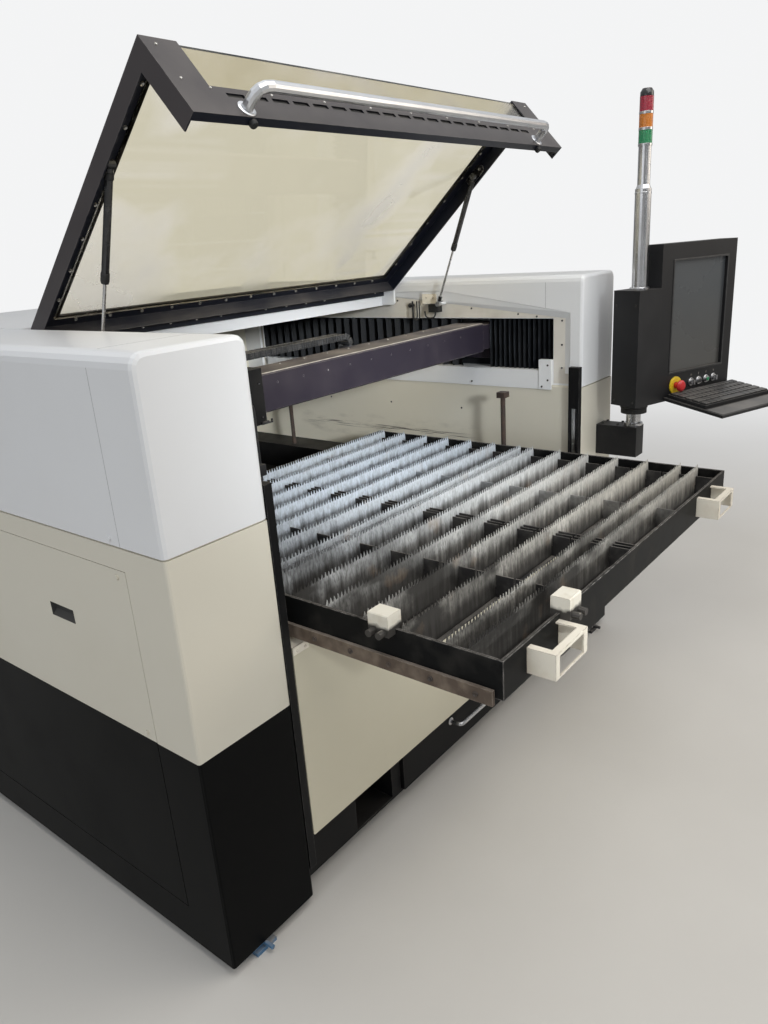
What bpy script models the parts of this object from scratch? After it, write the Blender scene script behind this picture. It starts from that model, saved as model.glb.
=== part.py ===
"""Enclosed fiber laser cutting machine with a pull-out slat bed, a lift-up lid and a side console.

Metres, +Z up. X runs along the machine's width, Y from its front to its back.
The origin is the middle of the underside of the front left levelling foot.
"""

from math import cos, pi, radians, sin

import bmesh
import bpy
from mathutils import Matrix, Vector

for old_object in list(bpy.data.objects):
    bpy.data.objects.remove(old_object, do_unlink=True)

# The gap that touching pieces keep, the overrun of every cut, and how deep joined shapes reach into
# each other
fit_gap = 0.0003
overrun = 0.010
embed = 0.005

# The two side columns and the bay between them
foot_height = 0.028
foot_inset_side = 0.100
foot_inset_front = 0.045
column_width = 0.266
bay_width = 1.532
machine_depth = 1.750
base_height = 0.557
panel_height = 0.454
cover_height = 0.385
column_edge_radius = 0.006
cover_outer_radius = 0.030
cover_inner_radius = 0.022
cover_front_radius = 0.010
seam_gap = 0.004
seam_inset = 0.006

# The service panel in the left column and the groove of the kick panel under it
service_front = 0.140
service_rear = 0.310
service_drop = 0.051
service_thickness = 0.016
service_gap = 0.0015
service_pull_front = 0.243
service_pull_length = 0.097
service_pull_height = 0.034
service_pull_drop = 0.146
service_pull_depth = 0.012
groove_width = 0.003
groove_depth = 0.004
groove_bottom = 0.104

# The opening of each cover towards the bay, for the gantry and its bellows
recess_front = 0.045
recess_low_height = 0.260
recess_slope_length = 0.532
recess_high_height = 0.341
recess_rear_margin = 0.130
recess_depth = 0.012
window_front = 0.116
window_sill = 0.055
window_height = 0.183
window_rear_margin = 0.134
window_depth = 0.150
sill_plate_rear_gap = 0.026
sill_plate_thickness = 0.003
sill_plate_overhang = 0.015
sill_bracket_width = 0.044
sill_bracket_height = 0.107
sill_bracket_thickness = 0.003

# The round-headed screws on the outer sides of the covers and of the service panel
shell_screw_radius = 0.006
shell_screw_reach = 0.004
shell_screw_sides = 10
cover_screw_inset = 0.174
cover_screw_above = 0.014
service_screw_inset = 0.031
service_screw_drop = 0.016

# The rail and rack that carry the gantry, inside each cover
rail_width = 0.030
rail_height = 0.028
rail_from_window = 0.060

# The bellows
bellows_depth = 0.028
bellows_sheet = 0.004
bellows_from_recess = 0.004
bellows_pleat_front = 0.020
bellows_pleat_rear = 0.046

# The fixed cover behind the lid, and the rear wall
top_cover_sheet = 0.004
top_cover_flange = 0.094
top_cover_drop = 0.002
rear_wall_thickness = 0.020

# The bed frame between the columns, with the hopper and the tunnels for the scrap box and for forks
bed_frame_front = 0.045
bed_frame_clearance_below = 0.004
bed_frame_top = 0.692
hopper_wall_left = 0.070
hopper_wall_right = 0.140
hopper_wall_front = 0.040
hopper_depth = 0.440
hopper_mouth_length = 0.900
hopper_mouth_front = 0.100
hopper_mouth_inset = 0.060
fork_width = 0.160
fork_height = 0.110
fork_from_scrap = 0.040
roller_radius = 0.020
roller_sides = 12
roller_places_share = (0.04, 0.30, 0.56)

# The scrap box
scrap_width = 0.665
scrap_length = 1.000
scrap_height = 0.124
scrap_sheet = 0.004
scrap_clearance = 0.005
tunnel_floor = 0.008
scrap_handle_length = 0.165
scrap_handle_reach = 0.040
scrap_handle_radius = 0.006
scrap_handle_drop = 0.030
scrap_handle_bend = 0.015
small_sides = 8

# The front door and its guides
door_bottom = 0.166
door_height = 0.524
door_thickness = 0.030
door_sheet = 0.003
door_edge = 0.018
door_side_gap = 0.003
door_edge_radius = 0.004
guide_width = 0.022
guide_depth = 0.040
guide_bottom = 0.080
guide_height = 1.005
guide_groove_width = 0.024
guide_groove_depth = 0.008
guide_groove_height = 0.850
door_shoe_height = 0.060
door_shoe_share = 0.18

# Posts on the ledge beside the bed
post_radius = 0.009
post_height = 0.306
post_from_column = 0.098
post_front_share = 0.150
post_rear_share = 0.784
post_head_width = 0.034
post_head_height = 0.020
post_sides = 12

# The slat bed
bed_gap_left = 0.051
bed_width = 1.360
bed_length = 1.372
bed_reach = 0.533
bed_rim = 0.806
bed_wall_height = 0.084
bed_wall = 0.006
bed_deep_drop = 0.022
bed_deep_start = 0.240
bed_deep_length = 0.220
runner_height = 0.033
runner_thickness = 0.008
runner_drop = 0.099
runner_inset_front = 0.020
slat_pitch = 0.0525
slat_first = 0.078
slat_thickness = 0.002
slat_depth = 0.060
slat_valley = 0.001
slat_tooth = 0.013
slat_teeth = 30
slat_end_gap = 0.001
slat_slots = (0, 1, 3, 5, 7, 9, 11, 12, 14, 16, 18, 20, 22, 24)
comb_thickness = 0.003
comb_height = 0.058
comb_below_rim = 0.020
comb_notch_depth = 0.024
comb_notch_width = 0.014
comb_places_share = (0.018, 0.270, 0.490, 0.510, 0.730, 0.982)

# The handles and clamps on the bed
handle_width = 0.138
handle_reach = 0.062
handle_height = 0.056
handle_drop = 0.012
handle_sheet = 0.004
handle_flange = 0.016
handle_left_from_wall = 0.088
handle_right_from_wall = 0.126
clamp_length = 0.052
clamp_outer = 0.026
clamp_inner = 0.018
clamp_height = 0.048
clamp_above_rim = 0.036
clamp_edge = 0.002
clamp_left_from_front = 0.275
clamp_front_from_left = 0.228
knob_radius = 0.008
knob_reach = 0.018
knob_drop = 0.039
knob_spacing = 0.026
knob_sides = 10

# The lid
lid_side_gap = 0.010
lid_hinge_from_front = 0.845
lid_hinge_height = 1.385
lid_front_overhang = 0.002
lid_facet = 0.200
lid_rail_depth = 0.045
lid_sheet = 0.004
lid_rear_gap = 0.012
lid_border_rear = 0.060
lid_border_side = 0.065
lid_facet_border = 0.091
lid_facet_window = 0.121
lid_open_degrees = 41.5
pane_thickness = 0.004
pane_overlap = 0.012
pane_tail = 0.006
slot_count = 20
slot_length = 0.048
slot_height = 0.012
slot_top = 0.136
slot_first = 0.122
slot_web = 0.0145
lip_fold = 0.020
hinge_radius = 0.009
hinge_pin_radius = 0.005
hinge_bore_radius = 0.0056
hinge_knuckle = 0.040
hinge_leaf_depth = 0.0065
hinge_sides = 16
hinge_places_share = (0.14, 0.50, 0.86)
hinge_rail_width = 0.014
hinge_rail_height = 0.046

# The lid's tube handle
lid_handle_radius = 0.0125
lid_handle_reach = 0.055
lid_handle_from_side = 0.148
lid_handle_height = 0.178
lid_handle_bend = 0.035
lid_handle_sides = 12

# The gas struts
strut_from_column = 0.034
strut_eye_along = 0.567
strut_eye_below = 0.026
strut_foot_from_front = 0.575
strut_foot_height = 1.307
strut_radius = 0.009
strut_bore = 0.0052
strut_rod_radius = 0.004
strut_cylinder_length = 0.262
strut_eye_radius = 0.009
strut_cap_radius = 0.011
strut_stud_radius = 0.006
strut_eye_width = 0.020
strut_rod_inside = 0.050
strut_wall_end = 0.014
strut_sides = 12

# The gantry
gantry_front = 0.380
gantry_depth = 0.125
gantry_height = 0.105
gantry_bottom = 1.130
gantry_side_gap = 0.030
gantry_neck_height = 0.090
gantry_edge = 0.004
truck_length = 0.180
truck_width = 0.070
truck_height = 0.080
chain_tray_width = 0.070
chain_tray_sheet = 0.003
chain_tray_drop = 0.040
chain_tray_lip = 0.012

# The energy chain on the gantry
chain_width = 0.046
chain_height = 0.020
chain_radius = 0.018
chain_start = 0.050
chain_reach = 0.835
chain_link = 0.034
chain_rib = 0.003
chain_rib_length_share = 0.6
chain_rib_margin_share = 0.2
chain_bend_steps = 8

# The head carriage, the cutting head and its nozzle
head_from_column = 0.150
carriage_width = 0.214
carriage_depth = 0.014
carriage_above = 0.020
carriage_below = 0.024
carriage_wrap = 0.060
head_from_carriage_end = 0.090
head_width = 0.100
head_depth = 0.085
head_height = 0.250
head_low = 0.930
head_edge = 0.008
nozzle_top_radius = 0.024
nozzle_neck_radius = 0.012
nozzle_tip_radius = 0.004
nozzle_drop = 0.070
nozzle_neck_drop = 0.038
head_plug_height = 0.030
head_sides = 16
z_slide_width = 0.050
z_slide_depth = 0.010

# The console's bracket and post
bracket_from_column = 0.132
bracket_width = 0.068
bracket_reach = 0.154
bracket_bottom = 0.740
bracket_height = 0.111
post_x_from_column = 0.176
post_y_ahead = 0.124
console_post_radius = 0.022
collar_radius = 0.034
collar_height = 0.024
console_post_sides = 20

# The console
console_turn_degrees = 20.0
console_bottom = 0.940
console_left = 0.100
console_split = 0.007
console_right = 0.398
console_ahead = 0.094
console_deep = 0.112
console_thin = 0.070
console_short_height = 0.395
console_tall_height = 0.536
screen_left = 0.069
screen_width = 0.281
screen_bottom = 0.100
screen_height = 0.378
screen_depth = 0.010
screen_thickness = 0.004
control_height = 0.052
estop_along = 0.101
estop_collar_radius = 0.030
estop_collar_depth = 0.004
estop_radius = 0.020
estop_top_radius = 0.016
estop_stem_radius = 0.011
estop_stem = 0.016
estop_cap = 0.016
estop_travel = 0.005
estop_socket = 0.012
control_first = 0.187
control_pitch = 0.0415
control_radius = 0.0095
control_proud = 0.010
control_socket = 0.012
control_clearance = 0.0008
knob_blade_width = 0.005
knob_blade_height = 0.008
knob_blade_margin = 0.001
button_travel = 0.004

# The keyboard tray
tray_left = 0.040
tray_width = 0.380
tray_reach = 0.245
tray_thickness = 0.010
tray_below = 0.006
tray_tilt_degrees = 7.0
keyboard_height = 0.012
keyboard_side_gap = 0.012
keyboard_rear_gap = 0.008
keyboard_depth = 0.160
key_rows = 5
key_ridge = 0.003
key_gap = 0.006

# The signal tower
tower_along = -0.035
tower_ahead = 0.035
tower_low_radius = 0.026
tower_low_height = 0.318
tower_high_radius = 0.020
tower_high_height = 0.131
tower_lens_radius = 0.0215
tower_lens_height = 0.0465
tower_lens_gap = 0.0003
tower_cap_height = 0.023
tower_cap_radius = 0.0205
tower_cap_top_radius = 0.0145
tower_taper = 0.006
tower_sides = 20

# The lid switch on the right column
switch_from_front = 0.590
switch_below_top = 0.092
switch_length = 0.044
switch_height = 0.030
switch_reach = 0.030
switch_lead_radius = 0.003
switch_lead_drop = 0.024
switch_lead_length = 0.050
lead_bend_share = 0.45

# The levelling feet
foot_length = 0.090
foot_width = 0.062
foot_pad_height = 0.010
foot_wedge_rise = 0.004
foot_bolt_radius = 0.006
foot_bolt_reach = 0.022

# Places worked out from the sizes above
left_x = -foot_inset_side
bay_left = left_x + column_width
bay_right = bay_left + bay_width
right_x = bay_right + column_width
bay_middle = (bay_left + bay_right) / 2
front_y = -foot_inset_front
back_y = front_y + machine_depth
skirt_z = foot_height
base_top = skirt_z + base_height
panel_top = base_top + panel_height
top_z = panel_top + cover_height
window_low = panel_top + window_sill
window_high = window_low + window_height
window_y0 = front_y + window_front
window_y1 = back_y - window_rear_margin
bed_x0 = bay_left + bed_gap_left
bed_x1 = bed_x0 + bed_width
bed_y0 = front_y - bed_reach
bed_y1 = bed_y0 + bed_length
rim_z = skirt_z + bed_rim
hinge_y = front_y + lid_hinge_from_front
hinge_z = skirt_z + lid_hinge_height
lid_x0 = bay_left + lid_side_gap
lid_x1 = bay_right - lid_side_gap
lid_length = lid_hinge_from_front + lid_front_overhang
gantry_y0 = front_y + gantry_front
gantry_y1 = gantry_y0 + gantry_depth
gantry_z0 = skirt_z + gantry_bottom
gantry_z1 = gantry_z0 + gantry_height


def paint(name, colour, roughness, metallic=0.0, alpha=1.0):
    """A plain Principled material."""
    made = bpy.data.materials.new(name)
    made.use_nodes = True
    shader = made.node_tree.nodes["Principled BSDF"]
    shader.inputs["Base Color"].default_value = (*colour, 1.0)
    shader.inputs["Roughness"].default_value = roughness
    shader.inputs["Metallic"].default_value = metallic
    shader.inputs["Alpha"].default_value = alpha
    return made


PLACE = {
    "X": lambda u, v, w: (w, u, v),
    "Y": lambda u, v, w: (u, w, v),
    "Z": lambda u, v, w: (u, v, w),
}


def prism(loops, axis, low, high):
    """Fills an outline with its holes and extrudes it along an axis, as a closed bmesh."""
    shape = bmesh.new()
    rings = [[shape.verts.new(PLACE[axis](u, v, low)) for u, v in loop] for loop in loops]
    if len(rings) == 1:
        faces = [shape.faces.new(rings[0])]
    else:
        edges = [shape.edges.new(pair) for ring in rings for pair in zip(ring, ring[1:] + ring[:1])]
        filled = bmesh.ops.triangle_fill(shape, use_beauty=True, edges=edges)["geom"]
        faces = [part for part in filled if isinstance(part, bmesh.types.BMFace)]
    raised = bmesh.ops.extrude_face_region(shape, geom=faces)["geom"]
    moved = [part for part in raised if isinstance(part, bmesh.types.BMVert)]
    bmesh.ops.translate(shape, verts=moved, vec=PLACE[axis](0, 0, high - low))
    bmesh.ops.recalc_face_normals(shape, faces=shape.faces)
    return shape


def block(low, high):
    """A rectangular block between two corners, as a closed bmesh."""
    shape = bmesh.new()
    size = [b - a for a, b in zip(low, high)]
    middle = [(a + b) / 2 for a, b in zip(low, high)]
    bmesh.ops.create_cube(shape, size=1, matrix=Matrix.Translation(middle) @ Matrix.Diagonal((*size, 1)))
    return shape


def rod(start, end, radius, sides, end_radius=None):
    """A round or tapered rod between two points, as a closed bmesh."""
    shape = bmesh.new()
    along = Vector(end) - Vector(start)
    turn = Vector((0, 0, 1)).rotation_difference(along).to_matrix().to_4x4()
    place = Matrix.Translation((Vector(start) + Vector(end)) / 2) @ turn
    bmesh.ops.create_cone(shape, cap_ends=True, segments=sides, radius1=radius,
                          radius2=radius if end_radius is None else end_radius,
                          depth=along.length, matrix=place)
    return shape


def piece(name, shape, finish, smooth=False):
    """Makes a named object of a closed bmesh, with its faces turned outwards."""
    if shape.calc_volume(signed=True) < 0:
        bmesh.ops.reverse_faces(shape, faces=shape.faces)
    mesh = bpy.data.meshes.new(name)
    shape.to_mesh(mesh)
    shape.free()
    made = bpy.data.objects.new(name, mesh)
    bpy.context.scene.collection.objects.link(made)
    mesh.materials.append(finish)
    if smooth:
        mesh.shade_smooth()
        mesh.set_sharp_from_angle(angle=radians(35))
    return made


def combine(target, shape, operation):
    """Joins a bmesh to an object, or cuts it away, with an exact Boolean that is applied."""
    tool = piece("tool", shape, target.data.materials[0])
    step = target.modifiers.new(operation.lower(), "BOOLEAN")
    step.operation = operation
    step.solver = "EXACT"
    step.object = tool
    bpy.context.view_layer.update()
    graph = bpy.context.evaluated_depsgraph_get()
    result = bpy.data.meshes.new_from_object(target.evaluated_get(graph))
    target.modifiers.clear()
    target.data = result
    bpy.data.objects.remove(tool, do_unlink=True)
    while len(result.materials) > 1:
        result.materials.pop()
    return target


def cut(target, *shapes):
    for shape in shapes:
        combine(target, shape, "DIFFERENCE")
    return target


def join(target, *shapes):
    for shape in shapes:
        combine(target, shape, "UNION")
    return target


def mirrored(source, name):
    """A copy of a piece, mirrored about the middle of the bay."""
    shape = bmesh.new()
    shape.from_mesh(source.data)
    flip = Matrix.Translation((bay_middle, 0, 0)) @ Matrix.Diagonal((-1, 1, 1, 1))
    bmesh.ops.transform(shape, verts=shape.verts, matrix=flip @ Matrix.Translation((-bay_middle, 0, 0)))
    return piece(name, shape, source.data.materials[0])


def turned(shape, matrix):
    bmesh.ops.transform(shape, verts=shape.verts, matrix=matrix)
    return shape


def set_pivot(made, pivot):
    """Puts a piece's origin on its joint's axis, with its shape left where it is."""
    made.data.transform(Matrix.Translation(-Vector(pivot)))
    made.location = pivot


def arc(centre, radius, start, end, steps):
    """Points of an arc, from one angle to another."""
    angles = [radians(start + (end - start) * i / steps) for i in range(steps + 1)]
    return [(centre[0] + radius * cos(a), centre[1] + radius * sin(a)) for a in angles]


def rounded(x0, x1, y0, y1, radius, steps=2):
    """The outline of a rectangle with round corners."""
    return (arc((x1 - radius, y1 - radius), radius, 0, 90, steps)
            + arc((x0 + radius, y1 - radius), radius, 90, 180, steps)
            + arc((x0 + radius, y0 + radius), radius, 180, 270, steps)
            + arc((x1 - radius, y0 + radius), radius, 270, 360, steps))


def rectangle(x0, x1, y0, y1):
    return [(x0, y0), (x1, y0), (x1, y1), (x0, y1)]


cover_white = paint("cover_white", (0.80, 0.80, 0.79), 0.40)
panel_cream = paint("panel_cream", (0.74, 0.71, 0.64), 0.42)
base_black = paint("base_black", (0.025, 0.025, 0.028), 0.45)
frame_black = paint("frame_black", (0.030, 0.030, 0.032), 0.55)
lid_brown = paint("lid_brown", (0.085, 0.075, 0.070), 0.45)
pane_bronze = paint("pane_bronze", (0.55, 0.47, 0.33), 0.10, alpha=0.35)
tube_steel = paint("tube_steel", (0.62, 0.64, 0.66), 0.28, 1.0)
strut_black = paint("strut_black", (0.030, 0.030, 0.030), 0.35)
bright_steel = paint("bright_steel", (0.60, 0.60, 0.60), 0.25, 1.0)
bellows_black = paint("bellows_black", (0.020, 0.020, 0.022), 0.75)
gantry_plum = paint("gantry_plum", (0.075, 0.060, 0.072), 0.45)
slat_zinc = paint("slat_zinc", (0.46, 0.46, 0.44), 0.50, 0.8)
rust_brown = paint("rust_brown", (0.24, 0.17, 0.13), 0.75)
handle_cream = paint("handle_cream", (0.72, 0.66, 0.52), 0.50)
console_black = paint("console_black", (0.035, 0.035, 0.036), 0.50)
screen_glass = paint("screen_glass", (0.06, 0.07, 0.08), 0.12)
button_red = paint("button_red", (0.62, 0.03, 0.03), 0.35)
lens_red = paint("lens_red", (0.50, 0.02, 0.03), 0.20)
lens_amber = paint("lens_amber", (0.80, 0.25, 0.02), 0.20)
lens_green = paint("lens_green", (0.03, 0.35, 0.12), 0.20)
foot_blue = paint("foot_blue", (0.10, 0.22, 0.35), 0.55)


def build_columns():
    """The black bases, the white panels and the moulded upper covers of both columns."""
    plan = rounded(bay_right, right_x, front_y, back_y, column_edge_radius)
    right_base = piece("right_base", prism([plan], "Z", skirt_z, base_top - fit_gap), base_black)
    left_base = mirrored(right_base, "left_base")
    groove_y0 = front_y + service_front
    groove_y1 = back_y - service_rear
    groove_z0 = skirt_z + groove_bottom
    above = base_top + overrun
    path = [(groove_y0, above), (groove_y0, groove_z0), (groove_y1, groove_z0), (groove_y1, above),
            (groove_y1 - groove_width, above), (groove_y1 - groove_width, groove_z0 + groove_width),
            (groove_y0 + groove_width, groove_z0 + groove_width), (groove_y0 + groove_width, above)]
    cut(left_base, prism([path], "X", left_x - overrun, left_x + groove_depth))

    right_panel = piece("right_panel", prism([plan], "Z", base_top, panel_top - seam_gap / 2), panel_cream)
    spigot = rounded(bay_right + seam_inset, right_x - seam_inset, front_y + seam_inset,
                     back_y - seam_inset, column_edge_radius)
    join(right_panel, prism([spigot], "Z", base_top + seam_inset, panel_top + seam_gap / 2 - fit_gap))
    left_panel = mirrored(right_panel, "left_panel")
    service_y0 = groove_y0 + service_gap
    service_y1 = groove_y1 - service_gap
    service_top = panel_top - service_drop
    cut(left_panel, block((left_x - overrun, groove_y0, base_top - overrun),
                          (left_x + service_thickness + fit_gap, groove_y1, service_top)))
    service = piece("service_panel", block((left_x, service_y0, base_top + service_gap),
                                           (left_x + service_thickness, service_y1,
                                            service_top - service_gap)), panel_cream)
    pull_y0 = front_y + service_front + service_pull_front
    pull_z1 = service_top - service_pull_drop
    pull = block((left_x - overrun, pull_y0, pull_z1 - service_pull_height),
                 (left_x + service_pull_depth, pull_y0 + service_pull_length, pull_z1))
    cut(service, pull)
    rows = (base_top + service_gap + service_screw_drop, service_top - service_gap - service_screw_drop)
    for z in rows:
        for y in (service_y0 + service_screw_inset, service_y1 - service_screw_inset):
            join(service, rod((left_x - shell_screw_reach, y, z), (left_x + embed, y, z),
                              shell_screw_radius, shell_screw_sides))

    build_cover()


def hung(face, back, low, high, edge):
    """The XZ outline of a plate on the cover whose lower lip hangs over the panel's face."""
    lip = bay_right - fit_gap
    return [(face, low), (lip, low), (lip, edge + fit_gap), (back, edge + fit_gap), (back, high),
            (face, high)]


def build_cover():
    """One upper cover with its opening towards the bay, and its mirrored twin."""
    bottom = panel_top + seam_gap / 2
    outer, inner = cover_outer_radius, cover_inner_radius
    profile = ([(bay_right, bottom), (right_x, bottom)]
               + arc((right_x - outer, top_z - outer), outer, 0, 90, 4)
               + arc((bay_right + inner, top_z - inner), inner, 90, 180, 3))
    shape = prism([profile], "Y", front_y, back_y)
    front_edges = [edge for edge in shape.edges
                   if all(abs(v.co.y - front_y) < fit_gap for v in edge.verts)
                   and len(edge.link_faces) == 2
                   and any(abs(face.normal.y) < 0.5 for face in edge.link_faces)
                   and sum(v.co.z for v in edge.verts) / 2 > bottom + fit_gap]
    bmesh.ops.bevel(shape, geom=front_edges, offset=cover_front_radius, offset_type="OFFSET",
                    affect="EDGES", segments=2, profile=0.5, material=-1)
    cover = piece("right_cover", shape, cover_white)
    recess_y0 = front_y + recess_front
    recess_y1 = recess_y0 + recess_slope_length
    recess_y2 = back_y - recess_rear_margin + overrun
    below = bottom - overrun
    recess = [(recess_y0, below), (recess_y2, below), (recess_y2, panel_top + recess_high_height),
              (recess_y1, panel_top + recess_high_height), (recess_y0, panel_top + recess_low_height)]
    floor_x = bay_right + recess_depth
    cut(cover, prism([recess], "X", bay_right - overrun, floor_x),
        prism([rectangle(window_y0, window_y1, window_low, window_high)], "X",
              bay_right - overrun, floor_x + window_depth))
    # The plate under the window with its bracket, which both hang over the panel, the gantry's rail,
    # the strut's stud and the screws of the outer side
    plate_y0 = window_y0 + sill_bracket_width
    plate_y1 = window_y1 - sill_plate_rear_gap
    plate_x = bay_right - fit_gap - sill_plate_thickness
    bracket_x = plate_x - sill_bracket_thickness
    low, high = bottom - sill_plate_overhang, window_low - fit_gap
    stud_end = bay_right - strut_from_column + strut_eye_width / 2 + fit_gap
    stud_y, stud_z = front_y + strut_foot_from_front, skirt_z + strut_foot_height
    rail_x0 = floor_x + rail_from_window
    rail_z1 = window_low + rail_height
    join(cover,
         prism([hung(plate_x, floor_x + embed, low, high, bottom)], "Y", plate_y0, plate_y1),
         prism([hung(bracket_x, floor_x + bellows_from_recess / 2, low, low + sill_bracket_height,
                     bottom)], "Y", window_y0 + fit_gap, plate_y0 + embed),
         block((rail_x0, window_y0 - embed, window_low - embed),
               (rail_x0 + rail_width, window_y1 + embed, rail_z1)),
         rod((stud_end, stud_y, stud_z), (floor_x + embed, stud_y, stud_z), strut_stud_radius,
             strut_sides))
    screw_z = bottom + cover_screw_above
    for y in (front_y + cover_screw_inset, (front_y + back_y) / 2, back_y - cover_screw_inset):
        join(cover, rod((right_x - embed, y, screw_z), (right_x + shell_screw_reach, y, screw_z),
                        shell_screw_radius, shell_screw_sides))
    mirrored(cover, "left_cover")


def build_bellows():
    """The pleated bellows before and behind the gantry, in each cover's window."""
    near = bay_right + recess_depth + bellows_from_recess
    spans = {"front": (window_y0 + fit_gap, gantry_y0 - fit_gap, bellows_pleat_front),
             "rear": (gantry_y1 + fit_gap, window_y1 - fit_gap, bellows_pleat_rear)}
    for place, (y0, y1, pitch) in spans.items():
        pleats = max(2, round((y1 - y0) / pitch))
        step = (y1 - y0) / (2 * pleats)
        folds = [(near + (bellows_depth if i % 2 else 0), y0 + step * i) for i in range(2 * pleats + 1)]
        sheet = folds + [(x + bellows_sheet, y) for x, y in reversed(folds)]
        right = piece("bellows_right_" + place,
                      prism([sheet], "Z", window_low + fit_gap, window_high - fit_gap), bellows_black)
        mirrored(right, "bellows_left_" + place)


def build_rear():
    """The fixed top cover behind the lid and the rear wall."""
    y0 = hinge_y + lid_rear_gap + hinge_rail_width + fit_gap
    z1 = top_z - top_cover_drop
    low = z1 - top_cover_flange
    sheet = top_cover_sheet
    fold = [(y0, low), (y0 + 4 * sheet, low), (y0 + 4 * sheet, low + sheet), (y0 + sheet, low + sheet),
            (y0 + sheet, z1 - sheet), (back_y, z1 - sheet), (back_y, z1), (y0, z1)]
    piece("top_cover", prism([fold], "X", bay_left + fit_gap, bay_right - fit_gap), cover_white)
    wall_y0 = back_y - rear_wall_thickness
    piece("rear_wall", block((bay_left + fit_gap, wall_y0, skirt_z), (bay_right - fit_gap, back_y,
                                                                        z1 - sheet - fit_gap)), panel_cream)


def build_bed_frame():
    """The black frame between the columns: hopper, scrap tunnel, fork tunnels and bed rollers."""
    x0, x1 = bay_left + fit_gap, bay_right - fit_gap
    y0, y1 = front_y + bed_frame_front, back_y - rear_wall_thickness - fit_gap
    z0, z1 = skirt_z + bed_frame_clearance_below, skirt_z + bed_frame_top
    frame = piece("bed_frame", block((x0, y0, z0), (x1, y1, z1)), frame_black)
    scrap_x0 = bay_middle - scrap_width / 2 - scrap_clearance
    scrap_x1 = bay_middle + scrap_width / 2 + scrap_clearance
    floor_z = z0 + tunnel_floor
    tunnel_z1 = floor_z + scrap_height + scrap_clearance
    tunnel_y1 = y0 + scrap_length + scrap_clearance
    top = rectangle(x0 + hopper_wall_left, x1 - hopper_wall_right, y0 + hopper_wall_front,
                    y1 - hopper_wall_front)
    mouth = rectangle(scrap_x0 + hopper_mouth_inset, scrap_x1 - hopper_mouth_inset,
                      y0 + hopper_mouth_front, y0 + hopper_mouth_length)
    hopper = bmesh.new()
    rings = []
    for outline, z in ((mouth, tunnel_z1 - overrun), (top, z1 - hopper_depth / 4), (top, z1 + overrun)):
        points = [hopper.verts.new((x, y, z)) for x, y in outline]
        rings.append([hopper.edges.new(pair) for pair in zip(points, points[1:] + points[:1])])
    bmesh.ops.bridge_loops(hopper, edges=rings[0] + rings[1])
    bmesh.ops.bridge_loops(hopper, edges=rings[1] + rings[2])
    bmesh.ops.holes_fill(hopper, edges=hopper.edges)
    bmesh.ops.recalc_face_normals(hopper, faces=hopper.faces)
    tunnel = block((scrap_x0, y0 - overrun, floor_z), (scrap_x1, tunnel_y1, tunnel_z1))
    cut(frame, hopper, tunnel)
    for side in (-1, 1):
        near = bay_middle + side * (scrap_width / 2 + scrap_clearance + fork_from_scrap)
        far = near + side * fork_width
        cut(frame, block((min(near, far), y0 - overrun, floor_z),
                         (max(near, far), y1 + overrun, floor_z + fork_height)))
    roller_z = rim_z - runner_drop - fit_gap - roller_radius
    for share in roller_places_share:
        y = y0 + (y1 - y0) * share
        for x in (bed_x0 - runner_thickness, bed_x1 + fit_gap):
            end = x + runner_thickness - fit_gap
            join(frame, rod((x, y, roller_z), (end, y, roller_z), roller_radius, roller_sides))

    box_x0 = bay_middle - scrap_width / 2
    box_x1 = bay_middle + scrap_width / 2
    box_y0 = front_y + door_thickness + seam_gap
    box_z0 = floor_z + fit_gap
    tray = piece("scrap_box", block((box_x0, box_y0, box_z0),
                                    (box_x1, box_y0 + scrap_length, box_z0 + scrap_height)), frame_black)
    cut(tray, block((box_x0 + scrap_sheet, box_y0 + scrap_sheet, box_z0 + scrap_sheet),
                    (box_x1 - scrap_sheet, box_y0 + scrap_length - scrap_sheet,
                     box_z0 + scrap_height + overrun)))
    handle_z = box_z0 + scrap_height - scrap_handle_drop
    handle_y = box_y0 - scrap_handle_reach
    handle_x0, handle_x1 = bay_middle - scrap_handle_length / 2, bay_middle + scrap_handle_length / 2
    corners = [(handle_x0, box_y0 - fit_gap, handle_z), (handle_x0, handle_y, handle_z),
               (handle_x1, handle_y, handle_z), (handle_x1, box_y0 - fit_gap, handle_z)]
    piece("scrap_handle", tube(corners, scrap_handle_radius, scrap_handle_bend, small_sides), bright_steel,
          smooth=True)

    for name, share in (("post_front", post_front_share), ("post_rear", post_rear_share)):
        y = front_y + machine_depth * share
        x = bay_right - post_from_column
        foot = z1 + fit_gap
        half = post_head_width / 2
        made = piece(name, rod((x, y, foot), (x, y, foot + post_height), post_radius, post_sides),
                     rust_brown)
        join(made, block((x - half, y - half, foot + post_height - post_head_height),
                         (x + half, y + half, foot + post_height + fit_gap)))


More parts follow.
